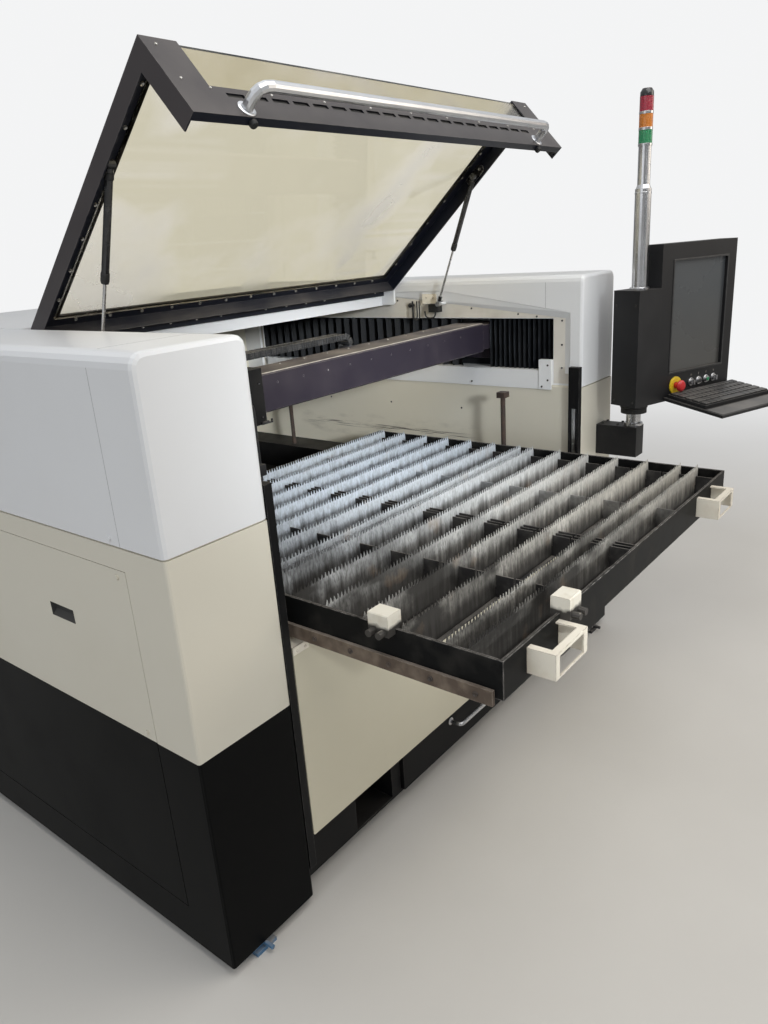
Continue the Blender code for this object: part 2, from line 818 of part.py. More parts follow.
def tube(corners, radius, bend, sides):
    """A round tube along straight runs with round bends, all in one plane, as a closed bmesh."""
    corners = [Vector(corner) for corner in corners]
    steps = 4
    points = [corners[0]]
    for before, corner, after in zip(corners, corners[1:], corners[2:]):
        start = corner + (before - corner).normalized() * bend
        end = corner + (after - corner).normalized() * bend
        for i in range(steps + 1):
            t = i / steps
            points.append(start * (1 - t) ** 2 + corner * 2 * t * (1 - t) + end * t ** 2)
    points.append(corners[-1])
    flat = (corners[1] - corners[0]).cross(corners[2] - corners[1]).normalized()
    shape = bmesh.new()
    rings = []
    for i, point in enumerate(points):
        run = points[min(i + 1, len(points) - 1)] - points[max(i - 1, 0)]
        across = run.normalized().cross(flat)
        angles = [2 * pi * k / sides for k in range(sides)]
        rings.append([shape.verts.new(point + (across * cos(a) + flat * sin(a)) * radius) for a in angles])
    for low, high in zip(rings, rings[1:]):
        for k in range(sides):
            nxt = (k + 1) % sides
            shape.faces.new((low[k], low[nxt], high[nxt], high[k]))
    shape.faces.new(rings[0])
    shape.faces.new(rings[-1])
    bmesh.ops.recalc_face_normals(shape, faces=shape.faces)
    return shape


def build_door():
    """The lowered front door, with its shoes in the two guides."""
    for side in ("left", "right"):
        near, far = ((bay_left + fit_gap, bay_left + guide_width) if side == "left"
                     else (bay_right - guide_width, bay_right - fit_gap))
        z0, y1 = skirt_z + guide_bottom, front_y + guide_depth
        strip = piece("door_guide_" + side, block((near, front_y, z0), (far, y1, z0 + guide_height)),
                      frame_black)
        groove_y0 = front_y + (guide_depth - guide_groove_width) / 2
        inside = ((far - guide_groove_depth, far + overrun) if side == "left"
                  else (near - overrun, near + guide_groove_depth))
        cut(strip, block((inside[0], groove_y0, z0 + guide_groove_depth),
                         (inside[1], groove_y0 + guide_groove_width,
                          z0 + guide_groove_depth + guide_groove_height)))
    x0 = bay_left + guide_width + door_side_gap
    x1 = bay_right - guide_width - door_side_gap
    z0, z1 = skirt_z + door_bottom, skirt_z + door_bottom + door_height
    outline = rounded(x0, x1, z0, z1, door_edge_radius)
    y1 = front_y + door_thickness
    door = piece("front_door", prism([outline], "Y", front_y, y1), panel_cream)
    cut(door, block((x0 + door_edge, front_y + door_sheet, z0 + door_edge),
                    (x1 - door_edge, y1 + overrun, z1 - door_edge)))
    shoe_y0 = front_y + (guide_depth - guide_groove_width) / 2 + fit_gap
    shoe_y1 = y1 - door_sheet
    reach = door_side_gap + guide_groove_depth - fit_gap
    for share in (door_shoe_share, 1 - door_shoe_share):
        z = z0 + door_height * share
        low, high = z - door_shoe_height / 2, z + door_shoe_height / 2
        join(door, block((x0 - reach, shoe_y0, low), (x0 + door_edge / 2, shoe_y1, high)),
             block((x1 - door_edge / 2, shoe_y0, low), (x1 + reach, shoe_y1, high)))


def build_bed():
    """The pull-out bed: its tray, the slat grid, runners, handles and edge clamps."""
    low = rim_z - bed_wall_height
    ring = [rectangle(bed_x0, bed_x1, bed_y0, bed_y1),
            rectangle(bed_x0 + bed_wall, bed_x1 - bed_wall, bed_y0 + bed_wall, bed_y1 - bed_wall)]
    tray = piece("bed_tray", prism(ring, "Z", low, rim_z), frame_black)
    deep_x0 = bed_x0 + bed_deep_start
    join(tray, block((deep_x0, bed_y0, low - bed_deep_drop),
                     (deep_x0 + bed_deep_length, bed_y0 + bed_wall, low + bed_wall)))
    build_slat_grid()
    z0 = rim_z - runner_drop
    for side, near in (("left", bed_x0 - fit_gap - runner_thickness), ("right", bed_x1 + fit_gap)):
        piece("runner_" + side, block((near, bed_y0 + runner_inset_front, z0),
                                      (near + runner_thickness, bed_y1, z0 + runner_height)), rust_brown)
    build_bed_handle("left", bed_x0 + handle_left_from_wall)
    build_bed_handle("right", bed_x1 - handle_right_from_wall - handle_width)
    wall_x = bed_x0 + bed_wall / 2
    clamp_y = bed_y0 + clamp_left_from_front
    build_clamp("clamp_left", (wall_x, clamp_y), 0)
    build_clamp("clamp_front", (bed_x0 + clamp_front_from_left + clamp_length / 2,
                                bed_y0 + bed_wall / 2), 90)


def build_slat_grid():
    """Toothed slats standing in slotted comb plates, as one interlocked grid."""
    comb_top = rim_z - comb_below_rim
    comb_y0, comb_y1 = bed_y0 + bed_wall + fit_gap, bed_y1 - bed_wall - fit_gap
    half = comb_notch_width / 2
    outline = [(comb_y1, comb_top), (comb_y1, comb_top - comb_height), (comb_y0, comb_top - comb_height),
               (comb_y0, comb_top)]
    slot = bed_y0 + slat_first
    while slot + half < comb_y1:
        outline += [(slot - half, comb_top), (slot, comb_top - comb_notch_depth), (slot + half, comb_top)]
        slot += slat_pitch
    inner = bed_width - 2 * bed_wall
    grid = None
    for share in comb_places_share:
        x = bed_x0 + bed_wall + inner * share - comb_thickness / 2
        comb = prism([outline], "X", x, x + comb_thickness)
        if grid is None:
            grid = piece("slat_grid", comb, slat_zinc)
        else:
            merge_into(grid, comb)

    x0, x1 = bed_x0 + bed_wall + slat_end_gap, bed_x1 - bed_wall - slat_end_gap
    pitch = (x1 - x0) / slat_teeth
    valley, tip = rim_z + slat_valley, rim_z + slat_valley + slat_tooth
    edge = [(x1, valley), (x1, valley - slat_depth), (x0, valley - slat_depth), (x0, valley)]
    for i in range(slat_teeth):
        edge.append((x0 + pitch * (i + 0.5), tip))
        if i < slat_teeth - 1:
            edge.append((x0 + pitch * (i + 1), valley))
    slats = None
    for number in slat_slots:
        y = bed_y0 + slat_first + slat_pitch * number - slat_thickness / 2
        slat = prism([edge], "Y", y, y + slat_thickness)
        if slats is None:
            slats = slat
        else:
            add_to(slats, slat)
    combine(grid, slats, "UNION")


def add_to(shape, extra):
    """Adds one bmesh to another, as a body beside it."""
    mesh = bpy.data.meshes.new("extra")
    extra.to_mesh(mesh)
    extra.free()
    shape.from_mesh(mesh)
    bpy.data.meshes.remove(mesh)


def merge_into(target, extra):
    """Adds a bmesh to an object's mesh, as a body beside what is there."""
    shape = bmesh.new()
    shape.from_mesh(target.data)
    add_to(shape, extra)
    shape.to_mesh(target.data)
    shape.free()


def build_bed_handle(side, x0):
    """A folded sheet handle: a flanged U with a window in its front."""
    x1 = x0 + handle_width
    y1 = bed_y0 - fit_gap
    y0 = y1 - handle_reach
    z1 = rim_z - handle_drop
    z0 = z1 - handle_height
    sheet, flange = handle_sheet, handle_flange
    handle = piece("bed_handle_" + side, block((x0, y0, z0), (x1, y1, z1)), handle_cream)
    cut(handle,
        block((x0 + sheet, y0 + sheet, z0 - overrun), (x1 - sheet, y1 + overrun, z1 - sheet)),
        block((x0 + flange, y0 + flange, z1 - sheet - overrun), (x1 - flange, y1 + overrun, z1 + overrun)),
        block((x0 + flange, y0 - overrun, z0 + sheet), (x1 - flange, y0 + sheet + overrun,
                                                         z1 - 2 * sheet)))


def build_clamp(name, place, turn_degrees):
    """A block astride the bed's wall, with two thumb screws through its outer side."""
    high = rim_z + clamp_above_rim
    low = high - clamp_height
    slot = bed_wall / 2 + fit_gap
    outline = [(-clamp_outer, low), (-slot, low), (-slot, rim_z + fit_gap), (slot, rim_z + fit_gap),
               (slot, low), (clamp_inner, low), (clamp_inner, high - clamp_edge),
               (clamp_inner - clamp_edge, high), (-clamp_outer + clamp_edge, high),
               (-clamp_outer, high - clamp_edge)]
    body = prism([outline], "Y", -clamp_length / 2, clamp_length / 2)
    made = piece(name, body, handle_cream)
    knob_z = high - knob_drop
    for offset in (-knob_spacing / 2, knob_spacing / 2):
        join(made, rod((-clamp_outer - knob_reach, offset, knob_z),
                       (-clamp_outer + embed, offset, knob_z), knob_radius, knob_sides))
    spin = Matrix.Translation((*place, 0)) @ Matrix.Rotation(radians(turn_degrees), 4, "Z")
    made.data.transform(spin)


lid_turn = (Matrix.Translation((0, hinge_y, hinge_z)) @ Matrix.Rotation(-radians(lid_open_degrees), 4, "X")
            @ Matrix.Translation((0, -hinge_y, -hinge_z)))


def lid_prism(outline, x0, x1):
    """A prism of an outline given along the closed lid and above it, still closed."""
    return prism([[(hinge_y - along, hinge_z + above) for along, above in outline]], "X", x0, x1)


def lid_block(x0, x1, near, far, low, high):
    return block((x0, hinge_y - far, hinge_z + low), (x1, hinge_y - near, hinge_z + high))


def build_lid():
    """The lid's folded sheet frame, its bent pane, its tube handle and the fixed hinge rail."""
    near, far = lid_rear_gap, lid_length
    deep, drop, sheet = lid_rail_depth, lid_facet, lid_sheet
    outer = [(near, 0), (far, 0), (far, -drop), (far - deep, -drop), (far - deep, -deep), (near, -deep)]
    frame = piece("lid_frame", lid_prism(outer, lid_x0, lid_x1), lid_brown)
    hollow = [(near + sheet, -sheet), (far - sheet, -sheet), (far - sheet, -drop + sheet),
              (far - deep - overrun, -drop + sheet), (far - deep - overrun, -deep - overrun),
              (near + sheet, -deep - overrun)]
    window_top = [(lid_border_rear, overrun), (far - overrun, overrun),
                  (far - overrun, -sheet - overrun), (lid_border_rear, -sheet - overrun)]
    window_front = [(far - 3 * overrun, overrun), (far + overrun, overrun),
                    (far + overrun, -lid_facet_window), (far - sheet - overrun, -lid_facet_window),
                    (far - sheet - overrun, -sheet - overrun), (far - 3 * overrun, -sheet - overrun)]
    lip_back = lid_block(lid_x0 + sheet, lid_x1 - sheet, far - deep - overrun, far - lip_fold,
                         -drop - overrun, -drop + sheet + overrun)
    cut(frame, lid_prism(hollow, lid_x0 + sheet, lid_x1 - sheet),
        lid_prism(window_top, lid_x0 + lid_border_side, lid_x1 - lid_border_side),
        lid_prism(window_front, lid_x0 + lid_facet_border, lid_x1 - lid_facet_border), lip_back)
    slots = None
    for i in range(slot_count):
        x = lid_x0 + slot_first + (slot_length + slot_web) * i
        slot = lid_block(x, x + slot_length, far - sheet - overrun, far + overrun,
                         -slot_top - slot_height, -slot_top)
        if slots is None:
            slots = slot
        else:
            add_to(slots, slot)
    cut(frame, slots)
    for side, x in ((-1, lid_x0), (1, lid_x1)):
        start = x - side * sheet / 2
        end = x - side * (strut_from_column - lid_side_gap - strut_eye_width / 2 - fit_gap)
        eye_y, eye_z = hinge_y - strut_eye_along, hinge_z - strut_eye_below
        join(frame, rod((start, eye_y, eye_z), (end, eye_y, eye_z), strut_stud_radius, strut_sides))
    for share in hinge_places_share:
        x = lid_x0 + (lid_x1 - lid_x0) * share
        knuckle_x0, knuckle_x1 = x - hinge_knuckle / 2, x + hinge_knuckle / 2
        join(frame, rod((knuckle_x0, hinge_y, hinge_z), (knuckle_x1, hinge_y, hinge_z), hinge_radius,
                        hinge_sides),
             lid_block(knuckle_x0 + fit_gap, knuckle_x1 - fit_gap, hinge_bore_radius, near + sheet / 2,
                       -hinge_leaf_depth, -fit_gap))
        cut(frame, rod((knuckle_x0 - overrun, hinge_y, hinge_z), (knuckle_x1 + overrun, hinge_y, hinge_z),
                       hinge_bore_radius, hinge_sides))
    frame.data.transform(lid_turn)
    set_pivot(frame, (bay_middle, hinge_y, hinge_z))

    top, thick = sheet + fit_gap, pane_thickness
    tail = lid_facet_window + pane_tail
    bent = [(lid_border_rear - pane_overlap, -top), (far - top, -top), (far - top, -tail),
            (far - top - thick, -tail), (far - top - thick, -top - thick),
            (lid_border_rear - pane_overlap, -top - thick)]
    inset = lid_border_side - pane_overlap
    pane = piece("lid_pane", turned(lid_prism(bent, lid_x0 + inset, lid_x1 - inset), lid_turn), pane_bronze)
    set_pivot(pane, (bay_middle, hinge_y, hinge_z))

    ends = (lid_x0 + lid_handle_from_side, lid_x1 - lid_handle_from_side)
    face, out = hinge_y - far - fit_gap, hinge_y - far - lid_handle_reach
    z = hinge_z - lid_handle_height
    corners = [(ends[0], face, z), (ends[0], out, z), (ends[1], out, z), (ends[1], face, z)]
    handle = tube([lid_turn @ Vector(corner) for corner in corners], lid_handle_radius, lid_handle_bend,
                  lid_handle_sides)
    piece("lid_handle", handle, tube_steel, smooth=True)

    rail_y0 = hinge_y + lid_rear_gap
    rail = piece("hinge_rail", block((lid_x0, rail_y0, hinge_z - hinge_rail_height),
                                     (lid_x1, rail_y0 + hinge_rail_width, hinge_z)), frame_black)
    for share in hinge_places_share:
        x = lid_x0 + (lid_x1 - lid_x0) * share
        for side in (-1, 1):
            start = x + side * (hinge_knuckle / 2 + fit_gap)
            end = start + side * hinge_knuckle
            join(rail, rod((start, hinge_y, hinge_z), (end, hinge_y, hinge_z), hinge_radius, hinge_sides),
                 block((min(start, end) + fit_gap, hinge_y, hinge_z - hinge_leaf_depth),
                       (max(start, end) - fit_gap, rail_y0 + embed, hinge_z - fit_gap)))
        reach = hinge_knuckle
        join(rail, rod((x - reach, hinge_y, hinge_z), (x + reach, hinge_y, hinge_z), hinge_pin_radius,
                       hinge_sides))


def strut_ends():
    """The open lid's strut eye and the strut's foot, in the YZ plane."""
    eye = lid_turn @ Vector((0, hinge_y - strut_eye_along, hinge_z - strut_eye_below))
    foot = Vector((0, front_y + strut_foot_from_front, skirt_z + strut_foot_height))
    return eye, foot


def build_struts():
    """The two gas struts between the columns and the open lid."""
    eye, foot = strut_ends()
    along = (foot - eye).normalized()
    for side, x in (("left", bay_left + strut_from_column), ("right", bay_right - strut_from_column)):
        place = Vector((x, 0, 0))
        half = Vector((strut_eye_width / 2, 0, 0))
        top, end = eye + place, eye + place + along * strut_cylinder_length
        cylinder = piece("strut_cylinder_" + side, rod(top, end, strut_radius, strut_sides), strut_black)
        join(cylinder, rod(top - half, top + half, strut_cap_radius, strut_sides))
        cut(cylinder, rod(top + along * strut_wall_end, end + along * overrun, strut_bore, strut_sides))
        set_pivot(cylinder, top)
        low = foot + place
        slider = piece("strut_rod_" + side, rod(end - along * strut_rod_inside, low, strut_rod_radius,
                                                strut_sides), bright_steel)
        join(slider, rod(low - half, low + half, strut_eye_radius, strut_sides))
        set_pivot(slider, low)


def build_gantry():
    """The cross beam with its trucks in the columns, the chain tray and the energy chain."""
    x0, x1 = bay_left + gantry_side_gap, bay_right - gantry_side_gap
    outline = rounded(gantry_y0, gantry_y1, gantry_z0, gantry_z1, gantry_edge, 1)
    beam = piece("gantry_beam", prism([outline], "X", x0, x1), gantry_plum)
    floor = recess_depth + rail_from_window
    neck_z0 = (gantry_z0 + gantry_z1 - gantry_neck_height) / 2
    truck_z0 = window_low + rail_height + fit_gap
    truck_y = (gantry_y0 + gantry_y1 - truck_length) / 2
    spread = (truck_width - rail_width) / 2
    for side, wall, end in ((-1, bay_left, x0), (1, bay_right, x1)):
        near = wall + side * (floor - spread)
        far = near + side * truck_width
        inner = end - side * embed
        join(beam, block((min(inner, far), gantry_y0 + gantry_edge, neck_z0),
                         (max(inner, far), gantry_y1 - gantry_edge, neck_z0 + gantry_neck_height)),
             block((min(near, far), truck_y, truck_z0),
                   (max(near, far), truck_y + truck_length, truck_z0 + truck_height)))
    tray_z = gantry_z1 - chain_tray_drop
    tray_y1 = gantry_y1 + chain_tray_width
    tray_x1 = x0 + chain_start + chain_reach
    sheet = chain_tray_sheet
    lip = chain_tray_lip
    tray = [(gantry_y1 - embed, tray_z), (tray_y1, tray_z), (tray_y1, tray_z + lip),
            (tray_y1 - sheet, tray_z + lip), (tray_y1 - sheet, tray_z + sheet),
            (gantry_y1 - embed, tray_z + sheet)]
    join(beam, prism([tray], "X", x0, tray_x1))

    chain_x0 = x0 + chain_start
    chain_x1 = chain_x0 + chain_reach - chain_radius - chain_height
    z0 = tray_z + sheet + fit_gap
    chain_y0 = gantry_y1 + (chain_tray_width - chain_width) / 2
    middle = (chain_x1, z0 + chain_height + chain_radius)
    reach, inner = chain_radius + chain_height, chain_radius
    upper_z = z0 + 2 * (chain_radius + chain_height)
    outer_line = [(chain_x0, z0)] + arc(middle, reach, -90, 90, chain_bend_steps) + [(chain_x0, upper_z)]
    inner_line = ([(chain_x0, upper_z - chain_height)] + arc(middle, inner, 90, -90, chain_bend_steps)
                  + [(chain_x0, z0 + chain_height)])
    chain = prism([outer_line + inner_line], "Y", chain_y0, chain_y0 + chain_width)
    made = piece("energy_chain", chain, bellows_black)
    ribs = None
    x = chain_x0 + chain_link / 2
    while x < chain_x1 - chain_link / 2:
        rib = block((x, chain_y0 - chain_rib, upper_z - chain_height * (1 - chain_rib_margin_share)),
                    (x + chain_link * chain_rib_length_share, chain_y0 + chain_width + chain_rib,
                     upper_z - chain_height * chain_rib_margin_share))
        if ribs is None:
            ribs = rib
        else:
            add_to(ribs, rib)
        x += chain_link
    join(made, ribs)


def build_head():
    """The carriage on the beam, and the cutting head that it lifts."""
    x0 = bay_left + head_from_column
    x1 = x0 + carriage_width
    middle = x0 + head_from_carriage_end
    y1 = gantry_y0 - fit_gap
    y0 = y1 - carriage_depth
    z0, z1 = gantry_z0 - carriage_below, gantry_z1 + carriage_above
    side = [(y0, z0), (y1, z0), (y1, gantry_z1 + fit_gap), (y1 + carriage_wrap, gantry_z1 + fit_gap),
            (y1 + carriage_wrap, z1), (y0, z1)]
    carriage = piece("head_carriage", prism([side], "X", x0, x1), frame_black)
    slide_y0 = y0 - z_slide_depth
    join(carriage, block((middle - z_slide_width / 2, slide_y0, z0 + fit_gap),
                         (middle + z_slide_width / 2, y0 + embed, z1 - fit_gap)))
    head_y1 = slide_y0 - fit_gap
    head_y0 = head_y1 - head_depth
    head_z0 = skirt_z + head_low
    plan = rounded(middle - head_width / 2, middle + head_width / 2, head_y0, head_y1, head_edge)
    head = piece("cutting_head", prism([plan], "Z", head_z0, head_z0 + head_height), console_black)
    axis = (head_y0 + head_y1) / 2
    neck_z = head_z0 - nozzle_neck_drop
    tip_z = head_z0 - nozzle_drop
    head_z1 = head_z0 + head_height
    join(head, rod((middle, axis, head_z0 + embed), (middle, axis, neck_z), nozzle_top_radius, head_sides),
         rod((middle, axis, neck_z + embed), (middle, axis, tip_z), nozzle_neck_radius, head_sides,
             nozzle_tip_radius),
         rod((middle, axis, head_z1 - embed), (middle, axis, head_z1 + head_plug_height),
             nozzle_top_radius, head_sides))


console_x = bay_right + post_x_from_column
console_y = front_y - post_y_ahead
console_z = skirt_z + console_bottom
console_turn = (Matrix.Translation((console_x, console_y, 0))
                @ Matrix.Rotation(-radians(console_turn_degrees), 4, "Z"))


def on_console(shape):
    return turned(shape, console_turn)


def build_console():
    """The bracket and post on the right column, and the swivelling console with its controls."""
    x0 = bay_right + bracket_from_column
    z0 = skirt_z + bracket_bottom
    z1 = z0 + bracket_height
    bracket = piece("console_bracket", block((x0, front_y - bracket_reach, z0),
                                             (x0 + bracket_width, front_y - fit_gap, z1)), console_black)
    post_z1 = console_z - collar_height - fit_gap
    join(bracket, rod((console_x, console_y, z1 - embed), (console_x, console_y, post_z1),
                      console_post_radius, console_post_sides))

    ahead, deep = -console_ahead, console_deep
    low = console_z
    short = [(-console_left, ahead), (console_split, ahead), (console_split, ahead + deep),
             (-console_left, ahead + deep)]
    body = piece("console_housing", on_console(prism([short], "Z", low, low + console_short_height)),
                 console_black)
    wide = [(console_split - embed, low + fit_gap), (console_right, low + fit_gap),
            (console_right, low + console_tall_height), (console_split, low + console_tall_height),
            (console_split, low + console_short_height - fit_gap),
            (console_split - embed, low + console_short_height - fit_gap)]
    join(body, on_console(prism([wide], "Y", ahead + fit_gap, ahead + console_thin)),
         on_console(rod((0, 0, low - collar_height), (0, 0, low + embed), collar_radius,
                        console_post_sides)))
    screen_z = low + screen_bottom
    opening = rectangle(screen_left, screen_left + screen_width, screen_z, screen_z + screen_height)
    cut(body, on_console(prism([opening], "Y", ahead - overrun, ahead + screen_depth + screen_thickness)))
    glass = rectangle(screen_left + fit_gap, screen_left + screen_width - fit_gap, screen_z + fit_gap,
                      screen_z + screen_height - fit_gap)
    piece("screen", on_console(prism([glass], "Y", ahead + screen_depth,
                                     ahead + screen_depth + screen_thickness - fit_gap)), screen_glass)
    build_controls(body, ahead, low + control_height)
    build_tray(ahead, low)
    build_tower(low + console_short_height)


def build_controls(body, face, z):
    """The emergency stop, the key switch, two push buttons and the selector."""
    into = Matrix.Rotation(-radians(console_turn_degrees), 4, "Z") @ Vector((0, 1, 0))

    def at(along, depth):
        return (along, face + depth, z)

    join(body, on_console(rod(at(estop_along, fit_gap), at(estop_along, -estop_collar_depth),
                              estop_collar_radius, console_post_sides)))
    cut(body, on_console(rod(at(estop_along, estop_socket), at(estop_along, -estop_collar_depth - overrun),
                             estop_stem_radius + control_clearance, head_sides)))
    stem_in = estop_socket - estop_travel - fit_gap
    cap_low = -estop_collar_depth - estop_stem
    button = piece("stop_button", on_console(rod(at(estop_along, stem_in), at(estop_along, cap_low),
                                                 estop_stem_radius, head_sides)), button_red)
    join(button, on_console(rod(at(estop_along, cap_low + fit_gap), at(estop_along, cap_low - estop_cap),
                                estop_radius, console_post_sides, estop_top_radius)))
    set_pivot(button, console_turn @ Vector(at(estop_along, 0)))
    names = ("key_switch", "start_button", "laser_button", "mode_selector")
    for number, name in enumerate(names):
        along = control_first + control_pitch * number
        cut(body, on_console(rod(at(along, control_socket), at(along, -overrun),
                                 control_radius + control_clearance, head_sides)))
        turns = name in ("key_switch", "mode_selector")
        depth = control_socket - (fit_gap if turns else button_travel + fit_gap)
        made = piece(name, on_console(rod(at(along, depth), at(along, -control_proud), control_radius,
                                          head_sides)), bright_steel)
        if turns:
            half, rise = knob_blade_width / 2, knob_blade_height
            reach = control_radius - knob_blade_margin
            outline = rectangle(along - half, along + half, z - reach, z + reach)
            join(made, on_console(prism([outline], "Y", face - control_proud - rise,
                                        face - control_proud + fit_gap)))
        set_pivot(made, console_turn @ Vector(at(along, 0)))


def build_tray(face, low):
    """The sloping keyboard tray with its rows of keys."""
    x0, x1 = tray_left, tray_left + tray_width
    y1, z1 = face - fit_gap, low + tray_below
    plate = block((x0, y1 - tray_reach, z1 - tray_thickness), (x1, y1, z1))
    keys_y1 = y1 - keyboard_rear_gap
    keys = block((x0 + keyboard_side_gap, keys_y1 - keyboard_depth, z1 - embed),
                 (x1 - keyboard_side_gap, keys_y1, z1 + keyboard_height))
    lean = (Matrix.Translation((0, y1, z1)) @ Matrix.Rotation(radians(tray_tilt_degrees), 4, "X")
            @ Matrix.Translation((0, -y1, -z1 + tray_thickness)))
    top = z1 + keyboard_height
    row = (keyboard_depth - key_gap) / key_rows
    ridges = None
    for i in range(key_rows):
        y = keys_y1 - keyboard_depth + key_gap + row * i
        ridge = block((x0 + keyboard_side_gap + key_gap, y, top - key_ridge),
                      (x1 - keyboard_side_gap - key_gap, y + row - key_gap, top + key_ridge))
        if ridges is None:
            ridges = ridge
        else:
            add_to(ridges, ridge)
    tray = piece("keyboard_tray", turned(plate, console_turn @ lean), console_black)
    join(tray, turned(keys, console_turn @ lean), turned(ridges, console_turn @ lean))


def build_tower(base_z):
    """The signal tower: a stepped pole and three lenses, on the console's low shoulder."""
    foot = console_turn @ Vector((tower_along, -tower_ahead, base_z + fit_gap))

    def up(height):
        return (foot.x, foot.y, foot.z + height)

    step = tower_low_height + tower_high_height
    pole = piece("tower_pole", rod(up(0), up(tower_low_height), tower_low_radius, tower_sides),
                 bright_steel, smooth=True)
    join(pole, rod(up(tower_low_height - tower_taper), up(tower_low_height + tower_taper * 2),
                   tower_low_radius, tower_sides, tower_high_radius),
         rod(up(tower_low_height), up(step), tower_high_radius, tower_sides))
    z = step
    for name, finish in (("lens_green", lens_green), ("lens_amber", lens_amber), ("lens_red", lens_red)):
        z += tower_lens_gap
        lens = piece(name, rod(up(z), up(z + tower_lens_height), tower_lens_radius, tower_sides), finish,
                     smooth=True)
        z += tower_lens_height
    join(lens, rod(up(z - fit_gap), up(z + tower_cap_height), tower_cap_radius, tower_sides,
                   tower_cap_top_radius))


def build_switch():
    """The lid switch on the right cover's recess, with its short lead."""
    x1 = bay_right + recess_depth - fit_gap
    x0 = x1 - switch_reach
    y0 = front_y + switch_from_front
    z1 = top_z - switch_below_top
    z0 = z1 - switch_height
    body = piece("lid_switch", block((x0, y0, z0), (x1, y0 + switch_length, z1)), console_black)
    lead_x = (x0 + x1) / 2
    lead_y = y0 + switch_length / 2
    points = [(lead_x, lead_y, z0 + embed), (lead_x, lead_y, z0 - switch_lead_drop),
              (lead_x, lead_y + switch_lead_length, z0 - switch_lead_drop),
              (lead_x, lead_y + switch_lead_length, z0 + switch_lead_radius)]
    join(body, tube(points, switch_lead_radius, switch_lead_length * lead_bend_share, small_sides))


def build_feet():
    """Four wedge levelling feet under the columns' corners."""
    places = {"front_left": (left_x + foot_inset_side, front_y + foot_inset_front),
              "front_right": (right_x - foot_inset_side, front_y + foot_inset_front),
              "rear_left": (left_x + foot_inset_side, back_y - foot_inset_front),
              "rear_right": (right_x - foot_inset_side, back_y - foot_inset_front)}
    half_w, half_l = foot_width / 2, foot_length / 2
    top = foot_height - fit_gap
    for name, (x, y) in places.items():
        turn = -1 if name.startswith("front") else 1
        outline = [(-half_l, 0), (half_l, 0), (half_l, foot_pad_height),
                   (half_l - foot_pad_height, foot_pad_height), (half_l - foot_pad_height, top),
                   (-half_l + foot_pad_height, top),
                   (-half_l + foot_pad_height, foot_pad_height + foot_wedge_rise),
                   (-half_l, foot_pad_height)]
        side = [(y + turn * along, high) for along, high in outline]
        foot = piece("foot_" + name, prism([side], "X", x - half_w, x + half_w), foot_blue)
        z = (foot_pad_height + top) / 2
        join(foot, rod((x, y + turn * (half_l - 2 * foot_pad_height), z),
                       (x, y + turn * (half_l + foot_bolt_reach), z), foot_bolt_radius, 8))


build_columns()
build_bellows()
build_rear()
build_bed_frame()
build_door()
build_bed()
build_lid()
build_struts()
build_gantry()
build_head()
build_console()
build_switch()
build_feet()
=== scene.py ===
# %% [markdown]
# An enclosed laser cutting machine, dressed for its picture
#
# The machine stands with its lid up, its front door down and its slat bed pulled out.
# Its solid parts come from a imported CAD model, so this lesson never moves them. It gives
# each of them a finish, and it adds the fine pieces that a CAD model leaves out.

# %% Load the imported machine
from math import cos, pi, radians, sin
from random import Random

import bmesh
import bpy
from mathutils import Matrix, Vector


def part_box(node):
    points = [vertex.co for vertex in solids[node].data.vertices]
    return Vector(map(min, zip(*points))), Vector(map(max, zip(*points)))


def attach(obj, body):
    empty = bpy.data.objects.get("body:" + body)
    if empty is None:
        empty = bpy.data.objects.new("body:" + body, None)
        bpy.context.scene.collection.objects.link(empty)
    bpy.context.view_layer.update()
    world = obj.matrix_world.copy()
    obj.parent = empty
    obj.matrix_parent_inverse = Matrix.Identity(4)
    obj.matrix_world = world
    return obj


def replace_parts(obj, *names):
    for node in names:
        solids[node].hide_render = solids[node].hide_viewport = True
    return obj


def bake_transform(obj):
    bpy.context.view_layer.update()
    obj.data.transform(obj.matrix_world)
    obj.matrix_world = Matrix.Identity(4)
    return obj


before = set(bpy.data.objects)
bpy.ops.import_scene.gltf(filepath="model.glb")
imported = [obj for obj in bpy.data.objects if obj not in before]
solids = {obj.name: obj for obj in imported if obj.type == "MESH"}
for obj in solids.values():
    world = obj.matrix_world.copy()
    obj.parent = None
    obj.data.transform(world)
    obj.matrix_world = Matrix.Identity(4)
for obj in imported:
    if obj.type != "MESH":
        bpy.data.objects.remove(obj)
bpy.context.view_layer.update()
scene = bpy.context.scene
middle_x = 0.932

# %% [markdown]
# The camera stands at the left, a little above head height, and looks down along the
# front of the machine. It could be aimed by hand with a Track To constraint. Here its
# turn is one rotation vector, so the picture's lean is kept as well, and the lens is the
# wide one of a phone.

# %% Place the camera
camera_turn = Vector((1.7264, -0.8899, 0.5453))
seen = Matrix.Rotation(camera_turn.length, 3, camera_turn)
camera = bpy.data.objects.new("camera", bpy.data.cameras.new("camera"))
scene.collection.objects.link(camera)
camera.matrix_world = (Matrix.Translation((-0.876, -1.222, 1.574))
                       @ Matrix((seen[0], -seen[1], -seen[2])).transposed().to_4x4())
camera.data.sensor_width = 36.0
camera.data.lens = 27.38
scene.camera = camera
scene.view_settings.view_transform = "Standard"
print("camera looks along", [round(value, 3) for value in seen[2]])

# %% [markdown]
# Finishes, world and floor are all made of shader nodes. Each node could be added, set
# and linked line by line. The helpers below do it in one call that names what goes into
# the node: a number, a colour or the output of another node.


# %% Define the node helpers
def feed(node, inputs):
    """Fills a node's inputs, each with a number, a colour or another node's output."""
    for label, value in inputs.items():
        socket = node.inputs[label]
        if isinstance(value, bpy.types.NodeSocket):
            node.id_data.links.new(value, socket)
        else:
            socket.default_value = (*value, 1) if socket.type == "RGBA" else value
    return node


